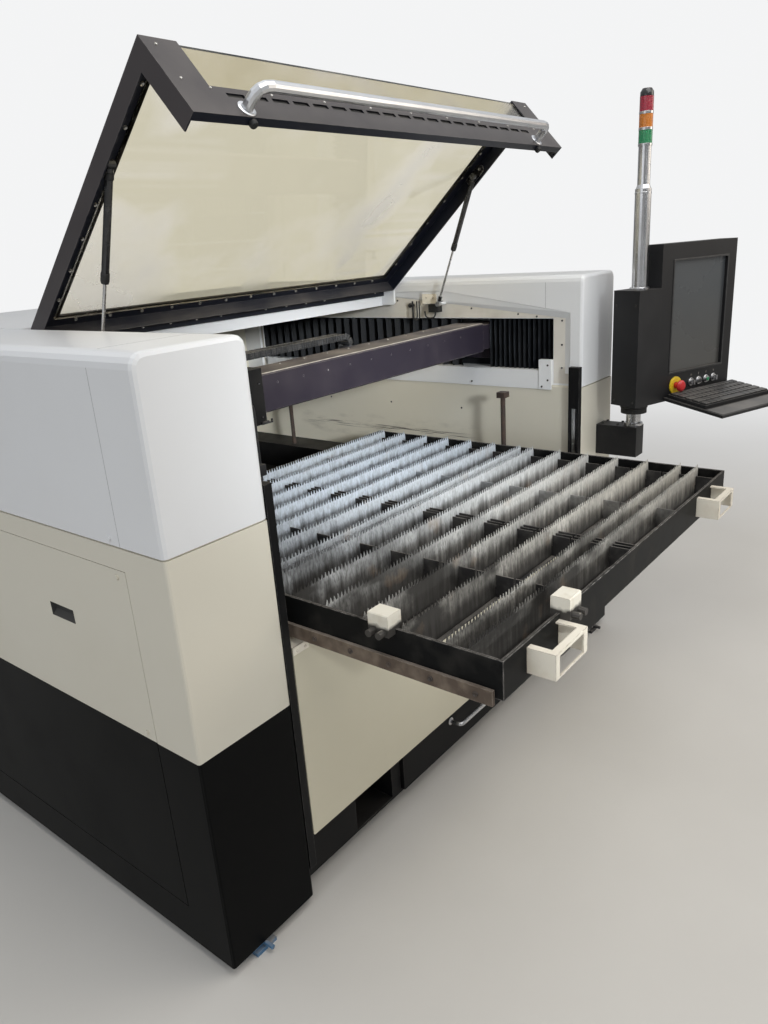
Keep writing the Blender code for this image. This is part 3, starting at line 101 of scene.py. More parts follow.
def add_node(tree, kind, inputs=None, **settings):
    """A new shader node with its settings and its inputs."""
    node = tree.nodes.new("ShaderNode" + kind)
    for label, value in settings.items():
        setattr(node, label, value)
    return feed(node, inputs or {})


def calc(operation, first, second=0.0):
    """A Math node on a socket and a second socket or number."""
    return add_node(first.id_data, "Math", {0: first, 1: second}, operation=operation).outputs[0]


def product(first, *others):
    """Multiplies a socket by other sockets or numbers, one after another."""
    for other in others:
        first = calc("MULTIPLY", first, other)
    return first


def spread(value, low, high, to_low=0.0, to_high=1.0):
    """Maps a value from low..high to a new range and stops at its ends."""
    return add_node(value.id_data, "MapRange", {"Value": value, "From Min": low, "From Max": high,
                                                "To Min": to_low, "To Max": to_high}).outputs["Result"]


def noise(vector, scale, detail=4.0):
    """A Noise texture on a vector."""
    return add_node(vector.id_data, "TexNoise",
                    {"Vector": vector, "Scale": scale, "Detail": detail}).outputs["Fac"]


def squeeze(vector, scale, shift=(0, 0, 0)):
    """Coordinates that a Mapping node scales, so that a pattern on them is drawn out."""
    return add_node(vector.id_data, "Mapping",
                    {"Vector": vector, "Scale": scale, "Location": shift}).outputs["Vector"]


def split(vector):
    """The X, Y and Z of a vector."""
    return add_node(vector.id_data, "SeparateXYZ", {"Vector": vector}).outputs


def mix_colours(mask, first, second):
    """Mixes two colours by a mask; each colour is a socket or three numbers."""
    return add_node(mask.id_data, "Mix", {"Factor": mask, 6: first, 7: second}, data_type="RGBA").outputs[2]


def mix_shaders(share, first, second):
    """Mixes two shaders by a share."""
    return add_node(share.id_data, "MixShader", {0: share, 1: first, 2: second}).outputs[0]


# %% [markdown]
# A showroom ceiling is one large soft light, so the machine gets a wide area lamp over
# its front left, weaker ones from both sides and a narrow one that reaches in under the
# raised lid, so that the bed and the inner walls are as bright as by day. The world could
# be one plain colour, but then chrome and black paint would show nothing but haze. Light
# Path gives the camera a paler world than the one that lights the object, and gives
# mirrors a room with a bright ceiling, dim walls and a dark floor.

# %% Light the machine
world = bpy.data.worlds.new("pale_room")
scene.world = world
world.use_nodes = True
tree = world.node_tree
backdrop = (0.9, 0.905, 0.91)
room = feed(tree.nodes["Background"], {"Color": (0.86, 0.9, 0.96), "Strength": 0.5})
shown = add_node(tree, "Background", {"Color": backdrop})
height = split(add_node(tree, "TexCoord").outputs["Generated"])["Z"]
mirrored = add_node(tree, "Background", {"Color": (0.96, 0.98, 1.0),
                                         "Strength": spread(height, 0.05, 0.75, 0.2, 0.9)})
rays = add_node(tree, "LightPath").outputs
lit = mix_shaders(rays["Is Glossy Ray"], room.outputs[0], mirrored.outputs[0])
in_view = calc("MAXIMUM", rays["Is Camera Ray"], rays["Is Transmission Ray"])
feed(tree.nodes["World Output"], {"Surface": mix_shaders(in_view, lit, shown.outputs[0])})


def add_lamp(name, place, target, size, watts, colour, cone=180.0):
    """One soft square lamp that looks at a point."""
    lamp = bpy.data.objects.new(name, bpy.data.lights.new(name, "AREA"))
    lamp.data.size = size
    lamp.data.energy = watts
    lamp.data.color = colour
    lamp.data.spread = radians(cone)
    aim = (Vector(target) - Vector(place)).to_track_quat("-Z", "Y")
    lamp.matrix_world = Matrix.Translation(place) @ aim.to_matrix().to_4x4()
    lamp.visible_camera = False
    scene.collection.objects.link(lamp)


add_lamp("ceiling_lamp", (0.6, -1.6, 4.6), (0.9, 0.3, 0.6), 3.5, 98, (1.0, 0.985, 0.96))
add_lamp("window_lamp", (-3.6, 0.4, 2.6), (0.4, 0.3, 0.8), 2.5, 20, (0.93, 0.96, 1.0))
add_lamp("door_lamp", (3.8, -3.2, 2.8), (1.0, -0.2, 0.7), 2.5, 46, (1.0, 0.9, 0.77))
add_lamp("bay_lamp", (-1.0, -4.2, 2.3), (1.28, 0.8, 1.0), 0.6, 4.6, (0.93, 0.97, 1.0), 20.0)

# %% [markdown]
# Several finishes share the same effects: patches of grime, dust that settles on faces
# that look up, and edges that are rubbed bare, where the bellows use the same edge mask
# for painted highlights along their pleats. Each effect could be built again in every
# material. A node group with named inputs is built once, and each material sets its own
# amounts on it. The groups give out masks only, and the shader stays in the material.


# %% Build the shared effects
def start_group(name, **numbers):
    """A new shader group: its tree, what comes into it, and the node that gives out its mask."""
    tree = bpy.data.node_groups.new(name, "ShaderNodeTree")
    tree.interface.new_socket(name="Vector", in_out="INPUT", socket_type="NodeSocketVector")
    for label, value in numbers.items():
        socket = tree.interface.new_socket(name=label, in_out="INPUT", socket_type="NodeSocketFloat")
        socket.default_value = value
    tree.interface.new_socket(name="Mask", in_out="OUTPUT", socket_type="NodeSocketFloat")
    return tree, tree.nodes.new("NodeGroupInput").outputs, tree.nodes.new("NodeGroupOutput")


grime, given, out = start_group("grime_patches", Scale=3.0, Low=0.45, High=0.75)
feed(out, {"Mask": spread(noise(given["Vector"], given["Scale"], 6.0), given["Low"], given["High"])})

dust, given, out = start_group("settled_dust", Scale=6.0, Amount=0.4)
looks_up = spread(split(add_node(dust, "TexCoord").outputs["Normal"])["Z"], 0.4, 1.0)
cloud = spread(noise(given["Vector"], given["Scale"], 5.0), 0.3, 0.7)
feed(out, {"Mask": product(looks_up, cloud, given["Amount"])})

wear_and_sheen, given, out = start_group("rubbed_edges_and_sheen", Radius=0.004, Breakup=30.0, Amount=0.6)
rounded = add_node(wear_and_sheen, "Bevel", {"Radius": given["Radius"]}, samples=4).outputs["Normal"]
true = add_node(wear_and_sheen, "NewGeometry").outputs["Normal"]
agreement = add_node(wear_and_sheen, "VectorMath", {0: rounded, 1: true}, operation="DOT_PRODUCT").outputs["Value"]
chips = spread(noise(given["Vector"], given["Breakup"], 6.0), 0.36, 0.6)
feed(out, {"Mask": product(spread(agreement, 0.99, 0.8), chips, given["Amount"])})

streak, given, out = start_group("long_streaks", Scale=4.0, Low=0.5, High=0.72)
feed(out, {"Mask": spread(noise(given["Vector"], given["Scale"], 8.0), given["Low"], given["High"])})
print("effects:", [tree.name for tree in bpy.data.node_groups])

# %% [markdown]
# Most of the machine is painted or moulded sheet, so one function lays those finishes:
# a base colour, patches of a second colour, dust on top, rubbed edges where paint has
# gone, a roughness that follows the patches and a very fine grain in the bump. On the
# bellows the same edge mask paints highlights along the pleats. Object coordinates keep
# every pattern at its true size in metres on every piece. On the lid, a mask picks the
# inner and downward faces by where they are and which way they look, and paints shade
# on them in a near-black navy.

# %% Define how a painted finish is made
finishes = {}
dust_tone = (0.42, 0.38, 0.33)


def open_material(name):
    """A new finish: its node tree, its shader and its Object coordinates."""
    finishes[name] = bpy.data.materials.new(name)
    finishes[name].use_nodes = True
    tree = finishes[name].node_tree
    return tree, tree.nodes["Principled BSDF"], add_node(tree, "TexCoord").outputs["Object"]


def use_effect(group, vector, **values):
    """Places a shared effect in a material with its own values."""
    return add_node(vector.id_data, "Group", {"Vector": vector, **values}, node_tree=group).outputs["Mask"]


def add_grain(shader, height, depth):
    """A Bump node from a height that feeds the shader's normal."""
    bump = add_node(height.id_data, "Bump", {"Distance": depth, "Strength": 1.0, "Height": height})
    feed(shader, {"Normal": bump.outputs["Normal"]})


def lid_shade_mask(place):
    """A mask of the lid's faces that look down or into the machine, where shade is painted."""
    lean = split(add_node(place.id_data, "TexCoord").outputs["Normal"])
    spot = split(place)
    from_middle = calc("ABSOLUTE", calc("SUBTRACT", spot["X"], middle_x))
    inner_rail = product(spread(from_middle, 0.7545, 0.7535), spread(calc("ABSOLUTE", lean["X"]), 0.3, 0.6))
    rear_border = product(spread(spot["Z"], 1.62, 1.58), spread(lean["Y"], -0.3, -0.6))
    shaded_rail_faces = calc("MAXIMUM", inner_rail, rear_border)
    return calc("MAXIMUM", shaded_rail_faces, spread(lean["Z"], -0.2, -0.45))


def painted(name, colour, shade, roughness, patch, dusty=0.0, dust_colour=dust_tone, edge=None,
            edge_colour=(0.35, 0.34, 0.33), grain=(500.0, 0.00003), coat=0.0, specular=0.5, lid_shade_colour=None):
    """A painted or moulded surface with patches, dust, rubbed edges and a fine grain; its edge mask also
    paints highlights, and its lid mask paints shade.
    """
    tree, shader, place = open_material(name)
    patches = use_effect(grime, place, Scale=patch[0], Low=patch[1], High=patch[2])
    tone = mix_colours(patches, colour, shade)
    if lid_shade_colour:
        tone = mix_colours(lid_shade_mask(place), tone, lid_shade_colour)
    if dusty:
        tone = mix_colours(use_effect(dust, place, Scale=7.0, Amount=dusty), tone, dust_colour)
    if edge:
        # Rubbed edges; on the bellows this mask paints highlights along the pleats.
        worn_and_lit_edges = use_effect(wear_and_sheen, place, Radius=edge[0], Breakup=edge[1], Amount=edge[2])
        tone = mix_colours(worn_and_lit_edges, tone, edge_colour)
    feed(shader, {"Base Color": tone, "Specular IOR Level": specular, "Coat Weight": coat,
                  "Roughness": spread(patches, 0.0, 1.0, roughness, min(1.0, roughness * 1.3))})
    add_grain(shader, noise(place, grain[0], 3.0), grain[1])


# %% [markdown]
# All the painted and moulded finishes then fit in one table. Each row gives the colour,
# the colour of the patches, the roughness, the patches' scale and limits, and whatever
# else sets this finish apart. Colours are linear, and blacks are never quite black.

# %% Make the painted finishes
looks = {
    "cover_white": ((0.78, 0.785, 0.79), (0.73, 0.73, 0.725), 0.34, (1.6, 0.42, 0.85),
                    dict(dusty=0.08, dust_colour=(0.6, 0.57, 0.52), coat=0.15)),
    # The door's cream is yellowed beyond its paint: painted warm light bounced up from the floor.
    "door_cream_warm_bounce": ((0.62, 0.575, 0.435), (0.565, 0.52, 0.39), 0.14, (1.8, 0.45, 0.9),
                   dict(dusty=0.15, coat=0.6)),
    "base_black": ((0.003, 0.0032, 0.0034), (0.006, 0.0061, 0.0062), 0.38, (4.0, 0.5, 0.85),
                   dict(dusty=0.05, edge=(0.003, 60.0, 0.15), edge_colour=(0.12, 0.12, 0.12),
                        grain=(900.0, 0.00004), specular=0.05)),
    "frame_black": ((0.0065, 0.0065, 0.007), (0.015, 0.0145, 0.014), 0.5, (8.0, 0.45, 0.75),
                    dict(dusty=0.08, edge=(0.003, 45.0, 0.25), specular=0.14)),
    "rail_navy": ((0.008, 0.01, 0.017), (0.014, 0.016, 0.024), 0.42, (8.0, 0.45, 0.75),
                  dict(dusty=0.08, edge=(0.002, 45.0, 0.35), specular=0.25)),
    "tray_black": ((0.0065, 0.0068, 0.007), (0.022, 0.021, 0.019), 0.42, (14.0, 0.48, 0.7),
                   dict(dusty=0.18, edge=(0.004, 55.0, 0.8), edge_colour=(0.34, 0.32, 0.3), specular=0.07)),
    # The lid's inner and downward faces get a near-black navy: painted shade.
    "lid_brown": ((0.05, 0.043, 0.044), (0.068, 0.06, 0.058), 0.36, (5.0, 0.45, 0.8),
                  dict(dusty=0.22, edge=(0.003, 50.0, 0.45), edge_colour=(0.26, 0.24, 0.22), specular=0.3,
                       lid_shade_colour=(0.008, 0.01, 0.018))),
    "gantry_plum": ((0.022, 0.018, 0.028), (0.042, 0.035, 0.044), 0.46, (6.0, 0.45, 0.8),
                    dict(dusty=0.75, dust_colour=(0.24, 0.21, 0.18), edge=(0.003, 60.0, 0.6),
                         edge_colour=(0.38, 0.34, 0.32), specular=0.25)),
    "console_black": ((0.014, 0.014, 0.015), (0.022, 0.022, 0.023), 0.46, (9.0, 0.45, 0.8),
                      dict(dusty=0.12, edge=(0.0015, 60.0, 0.2), grain=(1100.0, 0.00007), specular=0.28)),
    "rust_brown": ((0.09, 0.064, 0.046), (0.18, 0.14, 0.105), 0.7, (26.0, 0.42, 0.66),
                   dict(dusty=0.4, edge=(0.003, 80.0, 0.5), edge_colour=(0.5, 0.43, 0.36),
                        grain=(300.0, 0.0004))),
    "post_rust": ((0.03, 0.019, 0.015), (0.066, 0.042, 0.031), 0.66, (26.0, 0.42, 0.66),
                  dict(dusty=0.15, edge=(0.002, 80.0, 0.5), edge_colour=(0.24, 0.17, 0.13),
                       grain=(300.0, 0.0004))),
    "handle_cream": ((0.8, 0.745, 0.63), (0.66, 0.58, 0.46), 0.42, (18.0, 0.5, 0.8),
                     dict(dusty=0.25, dust_colour=(0.5, 0.42, 0.33), edge=(0.004, 70.0, 0.65),
                          edge_colour=(0.24, 0.17, 0.12))),
    "foot_blue": ((0.07, 0.17, 0.3), (0.2, 0.21, 0.22), 0.55, (30.0, 0.45, 0.6), dict(dusty=0.4)),
    "foot_dark": ((0.03, 0.03, 0.032), (0.075, 0.072, 0.068), 0.55, (30.0, 0.45, 0.6), dict(dusty=0.3)),
    "strut_black": ((0.012, 0.012, 0.013), (0.025, 0.025, 0.026), 0.22, (40.0, 0.45, 0.7),
                    dict(coat=0.4, dusty=0.15)),
    "comb_dark": ((0.022, 0.021, 0.021), (0.06, 0.057, 0.053), 0.6, (30.0, 0.45, 0.72),
                  dict(dusty=0.35, edge=(0.003, 90.0, 0.4), edge_colour=(0.22, 0.21, 0.19), specular=0.3)),
    # On the bellows the edge colour is a painted highlight along each pleat's ridge.
    "bellows_black": ((0.006, 0.007, 0.009), (0.014, 0.015, 0.017), 0.55, (16.0, 0.45, 0.75),
                      dict(dusty=0.12, edge=(0.004, 14.0, 0.9), edge_colour=(0.06, 0.068, 0.08),
                           grain=(1300.0, 0.00015), specular=0.2)),
    "rubber_black": ((0.012, 0.012, 0.012), (0.022, 0.022, 0.022), 0.55, (30.0, 0.45, 0.75),
                     dict(dusty=0.3, grain=(900.0, 0.0001))),
    "button_red": ((0.6, 0.018, 0.02), (0.45, 0.012, 0.014), 0.28, (60.0, 0.45, 0.8), dict(coat=0.4)),
    "ring_yellow": ((0.8, 0.56, 0.02), (0.62, 0.42, 0.03), 0.36, (60.0, 0.45, 0.8), dict(coat=0.2)),
    "key_black": ((0.02, 0.02, 0.021), (0.042, 0.042, 0.043), 0.38, (60.0, 0.45, 0.7),
                  dict(dusty=0.2, edge=(0.0015, 80.0, 0.35), edge_colour=(0.16, 0.16, 0.16))),
    "soot_cream": ((0.7, 0.665, 0.6), (0.6, 0.56, 0.49), 0.46, (9.0, 0.46, 0.72), dict(dusty=0.3)),
    "chain_black": ((0.016, 0.017, 0.019), (0.04, 0.04, 0.041), 0.42, (30.0, 0.45, 0.7),
                    dict(dusty=0.45, edge=(0.0015, 90.0, 0.35), edge_colour=(0.12, 0.12, 0.12))),
    "edge_pale": ((0.5, 0.46, 0.4), (0.34, 0.3, 0.27), 0.5, (40.0, 0.4, 0.7), {}),
    "seam_grey": ((0.34, 0.34, 0.34), (0.26, 0.26, 0.26), 0.6, (20.0, 0.4, 0.7), {}),
    "console_grey": ((0.075, 0.075, 0.076), (0.105, 0.104, 0.102), 0.5, (20.0, 0.4, 0.7), dict(dusty=0.3)),
    "rust_dark": ((0.045, 0.036, 0.031), (0.1, 0.075, 0.058), 0.6, (60.0, 0.4, 0.7), {}),
}
for name, (colour, shade, roughness, patch, extras) in looks.items():
    painted(name, colour, shade, roughness, patch, **extras)
print("painted finishes:", len(finishes))

# %% [markdown]
# The side panels are clean outside, but their inner faces are scratched and smudged where
# sheets rub past. The mark could be a separate sheet. Here the distance from the middle
# plane of the machine tells the inner face, and a noise that is squeezed along the wall
# gives thin, level scratches in one low band.


# %% Make the panel finish with its scratched inner face
def band(value, low, high, soft):
    """A mask that is one between two values and fades over a soft margin."""
    return product(spread(value, low - soft, low), spread(value, high + soft, high))


tree, shader, place = open_material("panel_cream")
axes = split(place)
patches = use_effect(grime, place, Scale=1.4, Low=0.45, High=0.9)
# The cream is warmed beyond the paint's own colour: painted warm light bounced up from the floor.
tone = mix_colours(patches, (0.685, 0.648, 0.545), (0.62, 0.578, 0.47))
tone = mix_colours(use_effect(dust, place, Scale=7.0, Amount=0.15), tone, dust_tone)
off_middle = calc("ABSOLUTE", calc("SUBTRACT", axes["X"], middle_x))
inner_side = product(spread(off_middle, 0.7675, 0.7668), band(axes["Y"], 0.42, 1.32, 0.05))
scratches = noise(squeeze(place, (1.0, 5.0, 300.0)), 1.0, 8.0)
cuts = product(spread(scratches, 0.54, 0.6), band(axes["Z"], 0.806, 0.826, 0.004))
smears = noise(squeeze(place, (1.0, 9.0, 34.0)), 1.0, 6.0)
smudges = product(spread(smears, 0.5, 0.78, 0.0, 0.3), band(axes["Z"], 0.775, 0.85, 0.03))
marks = product(calc("MAXIMUM", cuts, smudges), inner_side)
feed(shader, {"Base Color": mix_colours(marks, tone, (0.095, 0.085, 0.075)),
              "Roughness": spread(patches, 0.0, 1.0, 0.4, 0.52), "Coat Weight": 0.1})
add_grain(shader, noise(place, 500.0, 3.0), 0.00003)
print("panel finish made")

# %% [markdown]
# Bare metal needs another recipe: it has no paint to chip, and what the eye reads is the
# direction of its polishing marks. A noise that is squeezed along one axis gives both the
# marks in the bump and the fine change in roughness.


# %% Make the metal finishes
def bare_metal(name, colour, shade, roughness, marks):
    """Bare metal with polishing marks that run along the axis with the smallest scale."""
    tree, shader, place = open_material(name)
    lines = noise(squeeze(place, marks), 1.0, 3.0)
    patches = use_effect(grime, place, Scale=9.0, Low=0.42, High=0.78)
    feed(shader, {"Base Color": mix_colours(patches, colour, shade), "Metallic": 1.0,
                  "Roughness": spread(lines, 0.3, 0.7, roughness, roughness + 0.14)})
    add_grain(shader, lines, 0.00004)


metals = {
    "tube_steel": ((0.72, 0.73, 0.75), (0.6, 0.61, 0.64), 0.27, (6.0, 500.0, 500.0)),
    "bright_steel": ((0.66, 0.66, 0.67), (0.5, 0.5, 0.5), 0.22, (300.0, 300.0, 300.0)),
    "pole_steel": ((0.7, 0.7, 0.71), (0.5, 0.5, 0.51), 0.2, (260.0, 260.0, 5.0)),
    "rail_steel": ((0.62, 0.62, 0.6), (0.42, 0.41, 0.4), 0.24, (300.0, 300.0, 8.0)),
    "screw_zinc": ((0.58, 0.57, 0.54), (0.36, 0.34, 0.31), 0.3, (700.0, 700.0, 700.0)),
    "screw_dark": ((0.085, 0.082, 0.08), (0.05, 0.048, 0.046), 0.34, (700.0, 700.0, 700.0)),
}
for name, look in metals.items():
    bare_metal(name, *look)
print("metal finishes:", len(metals))

# %% [markdown]
# Each slat stands on edge over the cutting flame, so its zinc is streaked from top to
# bottom with soot, while its teeth stay pale. Its lower half is dark with soot and with
# painted shade. A noise that is squeezed across the slat draws the streaks, and the
# height in Object coordinates fades the soot away towards the teeth. Rows further back
# are cleaner than the front, and they are given a bluish tone as painted cool light.


# %% Make the slat finishes
def scorched_shaded_zinc(name, pale, rear_lit_tone, low_z, high_z):
    """Zinc sheet with vertical soot streaks that thin out towards its top, painted shade low down and a
    painted bluish light on the rear rows.
    """
    tree, shader, place = open_material(name)
    axes = split(place)
    rise = spread(axes["Z"], low_z, high_z)
    nearness = spread(calc("ADD", axes["X"], axes["Y"]), -0.3, 1.1, 1.0, 0.0)
    streaks = use_effect(streak, squeeze(place, (95.0, 60.0, 6.0)), Scale=1.0, Low=0.34, High=0.6)
    # Rear rows turn bluish: painted cool light from the back.
    tone = mix_colours(spread(axes["Y"], -0.35, 0.35), pale, rear_lit_tone)
    soot = product(streaks, spread(rise, 0.35, 1.0, 1.0, 0.0),
                   spread(noise(place, 7.0), 0.3, 0.58, 0.35, 1.0), spread(nearness, 0.0, 1.0, 0.45, 1.0))
    tone = mix_colours(soot, tone, (0.03, 0.028, 0.026))
    specks = noise(squeeze(place, (230.0, 60.0, 70.0)), 1.0, 8.0)
    peppered = product(spread(specks, 0.46, 0.62), spread(nearness, 0.0, 1.0, 0.25, 0.8))
    tone = mix_colours(peppered, tone, (0.05, 0.047, 0.043))
    film = spread(noise(squeeze(place, (5.0, 38.0, 9.0)), 1.0, 5.0), 0.38, 0.56, 0.35, 1.0)
    tone = mix_colours(product(film, spread(nearness, 0.0, 0.62)), tone, (0.034, 0.032, 0.029))
    # The lowest part of each slat goes nearly black: soot and painted shade.
    ragged = spread(noise(squeeze(place, (60.0, 60.0, 2.0)), 1.0), 0.3, 0.7, -0.22, 0.22)
    soot_and_shade_low = calc("SUBTRACT", calc("ADD", rise, ragged), product(nearness, 0.26))
    tone = mix_colours(spread(soot_and_shade_low, 0.05, 0.62, 0.95, 0.0), tone, (0.028, 0.026, 0.024))
    rusty = use_effect(grime, place, Scale=11.0, Low=0.62, High=0.74)
    feed(shader, {"Base Color": mix_colours(product(rusty, 0.3), tone, (0.36, 0.25, 0.16)),
                  "Roughness": spread(soot, 0.0, 1.0, 0.42, 0.82), "Metallic": 0.15})
    add_grain(shader, noise(place, 260.0), 0.0003)


scorched_shaded_zinc("slat_zinc", (0.7, 0.67, 0.6), (0.62, 0.68, 0.75), 0.762, 0.846)
scorched_shaded_zinc("comb_grey", (0.3, 0.29, 0.27), (0.3, 0.32, 0.34), 0.74, 0.812)
print("slat finishes made")

# %% [markdown]
# The lid's window is bronze acrylic, dusty inside and out, with the curved wipes of an
# old cloth. Real glass bends and tints light, and it would throw a black shadow without
# caustics, so Light Path lets shadow rays through a plain tinted Transparent shader. The
# wipes are rings of a Wave texture that noise distorts, and they only change roughness
# and tint.

# %% Make the bronze window
tree, shader, place = open_material("pane_bronze")
wipes = add_node(tree, "TexWave", {"Vector": squeeze(place, (1, 1, 1), (-0.7, 0.3, -1.5)), "Scale": 1.1,
                                   "Distortion": 9.0, "Detail": 4.0, "Detail Scale": 1.4},
                 wave_type="RINGS", rings_direction="SPHERICAL").outputs["Fac"]
cloud = noise(place, 2.6, 6.0)
wiped = product(spread(wipes, 0.35, 1.0), spread(cloud, 0.38, 0.62))
streaks = spread(noise(squeeze(place, (0.5, 26.0, 2.0)), 1.0, 6.0), 0.42, 0.66)
haze = calc("MAXIMUM", wiped, product(streaks, spread(cloud, 0.48, 0.6, 0.0, 0.6)))
feed(shader, {"Base Color": mix_colours(haze, (0.715, 0.668, 0.515), (0.845, 0.805, 0.715)),
              "Roughness": spread(haze, 0.0, 1.0, 0.03, 0.3), "Transmission Weight": 1.0, "IOR": 1.3})
clear = add_node(tree, "BsdfTransparent", {"Color": (0.8, 0.72, 0.56)})
shadow_ray = add_node(tree, "LightPath").outputs["Is Shadow Ray"]
feed(tree.nodes["Material Output"],
     {"Surface": mix_shaders(shadow_ray, shader.outputs[0], clear.outputs[0])})
print("window finish made")

# %% [markdown]
# The signal lamps are ribbed, coloured plastic. Tall ribs could be modelled, but they are
# under a millimetre deep, so the bump of a wave round the lamp draws them. The angle round
# the lamp's axis comes from an arctangent of the shifted coordinates. The screen is a
# matt, dusty panel, and the cream clamps are black with soot at their feet.

# %% Make the lamp, screen and clamp finishes
tower = sum(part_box("lens_green"), Vector()) / 2


def ribbed_lamp(name, colour, deep):
    """Coloured plastic with fine upright ribs."""
    tree, shader, place = open_material(name)
    axes = split(add_node(tree, "VectorMath", {0: place, 1: (tower.x, tower.y, 0)},
                          operation="SUBTRACT").outputs[0])
    ribs = calc("SINE", product(calc("ARCTAN2", axes["Y"], axes["X"]), 48.0))
    both = calc("ADD", ribs, product(calc("SINE", product(axes["Z"], 1400.0)), 0.4))
    feed(shader, {"Base Color": mix_colours(spread(both, -1.0, 1.2), deep, colour),
                  "Roughness": spread(noise(place, 90.0), 0.3, 0.7, 0.14, 0.26), "Coat Weight": 0.6})
    add_grain(shader, both, 0.0004)


ribbed_lamp("lens_red", (0.62, 0.025, 0.07), (0.24, 0.006, 0.02))
ribbed_lamp("lens_amber", (0.92, 0.31, 0.02), (0.55, 0.14, 0.006))
ribbed_lamp("lens_green", (0.03, 0.42, 0.16), (0.006, 0.16, 0.06))

tree, shader, place = open_material("screen_glass")
film = use_effect(grime, place, Scale=2.2, Low=0.25, High=0.95)
tone = mix_colours(spread(split(place)["Z"], 1.07, 1.45), (0.072, 0.068, 0.06), (0.062, 0.072, 0.082))
feed(shader, {"Base Color": mix_colours(film, tone, (0.088, 0.09, 0.088)),
              "Roughness": spread(film, 0.0, 1.0, 0.22, 0.42), "Coat Weight": 0.3})
add_grain(shader, noise(place, 700.0), 0.00002)

tree, shader, place = open_material("clamp_cream")
blots = noise(place, 60.0, 5.0)
low_soot = spread(calc("ADD", split(place)["Z"], product(blots, 0.018)), 0.857, 0.848)
patches = use_effect(grime, place, Scale=30.0, Low=0.5, High=0.8)
tone = mix_colours(patches, (0.72, 0.68, 0.58), (0.6, 0.54, 0.43))
chips = use_effect(wear_and_sheen, place, Radius=0.003, Breakup=70.0, Amount=0.5)
tone = mix_colours(chips, tone, (0.45, 0.3, 0.2))
feed(shader, {"Base Color": mix_colours(low_soot, tone, (0.04, 0.036, 0.032)),
              "Roughness": spread(blots, 0.3, 0.7, 0.42, 0.58)})
add_grain(shader, noise(place, 400.0, 3.0), 0.00006)
print("finishes:", len(finishes))

# %% [markdown]
# A model keeps plain colours until each node's material slot is filled again. The nodes
# stay where they are, and only what fills their slots changes.

# %% Give every solid its finish
wanted = {
    "cover_white": ("left_cover", "right_cover", "top_cover"),
    "panel_cream": ("left_panel", "right_panel", "service_panel", "rear_wall"),
    "door_cream_warm_bounce": ("front_door",),
    "base_black": ("left_base", "right_base"),
    "frame_black": ("bed_frame", "scrap_box", "door_guide_left", "door_guide_right", "head_carriage"),
    "rail_navy": ("hinge_rail",),
    "tray_black": ("bed_tray",),
    "lid_brown": ("lid_frame",),
    "gantry_plum": ("gantry_beam",),
    "console_black": ("console_housing", "console_bracket", "keyboard_tray", "cutting_head"),
    "rust_brown": ("runner_left", "runner_right"),
    "post_rust": ("post_front", "post_rear"),
    "handle_cream": ("bed_handle_left", "bed_handle_right"),
    "clamp_cream": ("clamp_left", "clamp_front"),
    "tube_steel": ("lid_handle",),
    "bright_steel": ("scrap_handle", "strut_rod_left", "strut_rod_right", "key_switch", "start_button",
                     "laser_button", "mode_selector"),
    "pole_steel": ("tower_pole",),
    "strut_black": ("strut_cylinder_left", "strut_cylinder_right"),
    "slat_zinc": ("slat_grid",),
    "pane_bronze": ("lid_pane",),
    "screen_glass": ("screen",),
    "bellows_black": ("bellows_left_front", "bellows_left_rear", "bellows_right_front", "bellows_right_rear",
                      "energy_chain"),
    "rubber_black": ("lid_switch",),
    "button_red": ("stop_button",),
    "lens_red": ("lens_red",),
    "lens_amber": ("lens_amber",),
    "lens_green": ("lens_green",),
    "foot_blue": ("foot_front_left", "foot_rear_left"),
    "foot_dark": ("foot_front_right", "foot_rear_right"),
}
for label, nodes in wanted.items():
    for node in nodes:
        solids[node].data.materials.clear()
        solids[node].data.materials.append(finishes[label])
covered = {node for nodes in wanted.values() for node in nodes}
print("solids finished:", len(covered), "left plain:", sorted(set(solids) - covered))

# %% [markdown]
# New pieces start from a few bmesh operators. Blocks, screws and turned parts are made
# about the Z axis by small functions, and a flat outline becomes a plate when it is
# extruded. Ready primitives would be quicker to place, but their edges are knife sharp
# and catch no light.


# %% Define the small shapes
def soft_block(low, high, edge=0.001, segments=2):
    """A block between two corners with every edge rounded."""
    shape = bmesh.new()
    size = [b - a for a, b in zip(low, high)]
    middle = [(a + b) / 2 for a, b in zip(low, high)]
    bmesh.ops.create_cube(shape, size=1.0, matrix=Matrix.Translation(middle) @ Matrix.Diagonal((*size, 1)))
    bmesh.ops.bevel(shape, geom=shape.edges[:], offset=edge, offset_type="OFFSET", segments=segments,
                    profile=0.5, affect="EDGES", material=-1)
    return shape


def turned_part(profile, steps=32, closed=False):
    """Spins a profile of (radius, height) points once round the Z axis."""
    shape = bmesh.new()
    points = [shape.verts.new((radius, 0, height)) for radius, height in profile]
    pairs = list(zip(points, points[1:])) + ([(points[-1], points[0])] if closed else [])
    edges = [shape.edges.new(pair) for pair in pairs]
    bmesh.ops.spin(shape, geom=points + edges, cent=(0, 0, 0), axis=(0, 0, 1), angle=2 * pi,
                   steps=steps, use_merge=True)
    bmesh.ops.remove_doubles(shape, verts=shape.verts, dist=0.000002)
    bmesh.ops.recalc_face_normals(shape, faces=shape.faces)
    return shape


def washer(inner, outer, height, edge=0.0004, steps=32):
    """A ring that stands on z = 0, with its upper edges broken."""
    return turned_part([(inner, 0), (outer, 0), (outer, height - edge), (outer - edge, height),
                        (inner + edge, height), (inner, height - edge)], steps, closed=True)


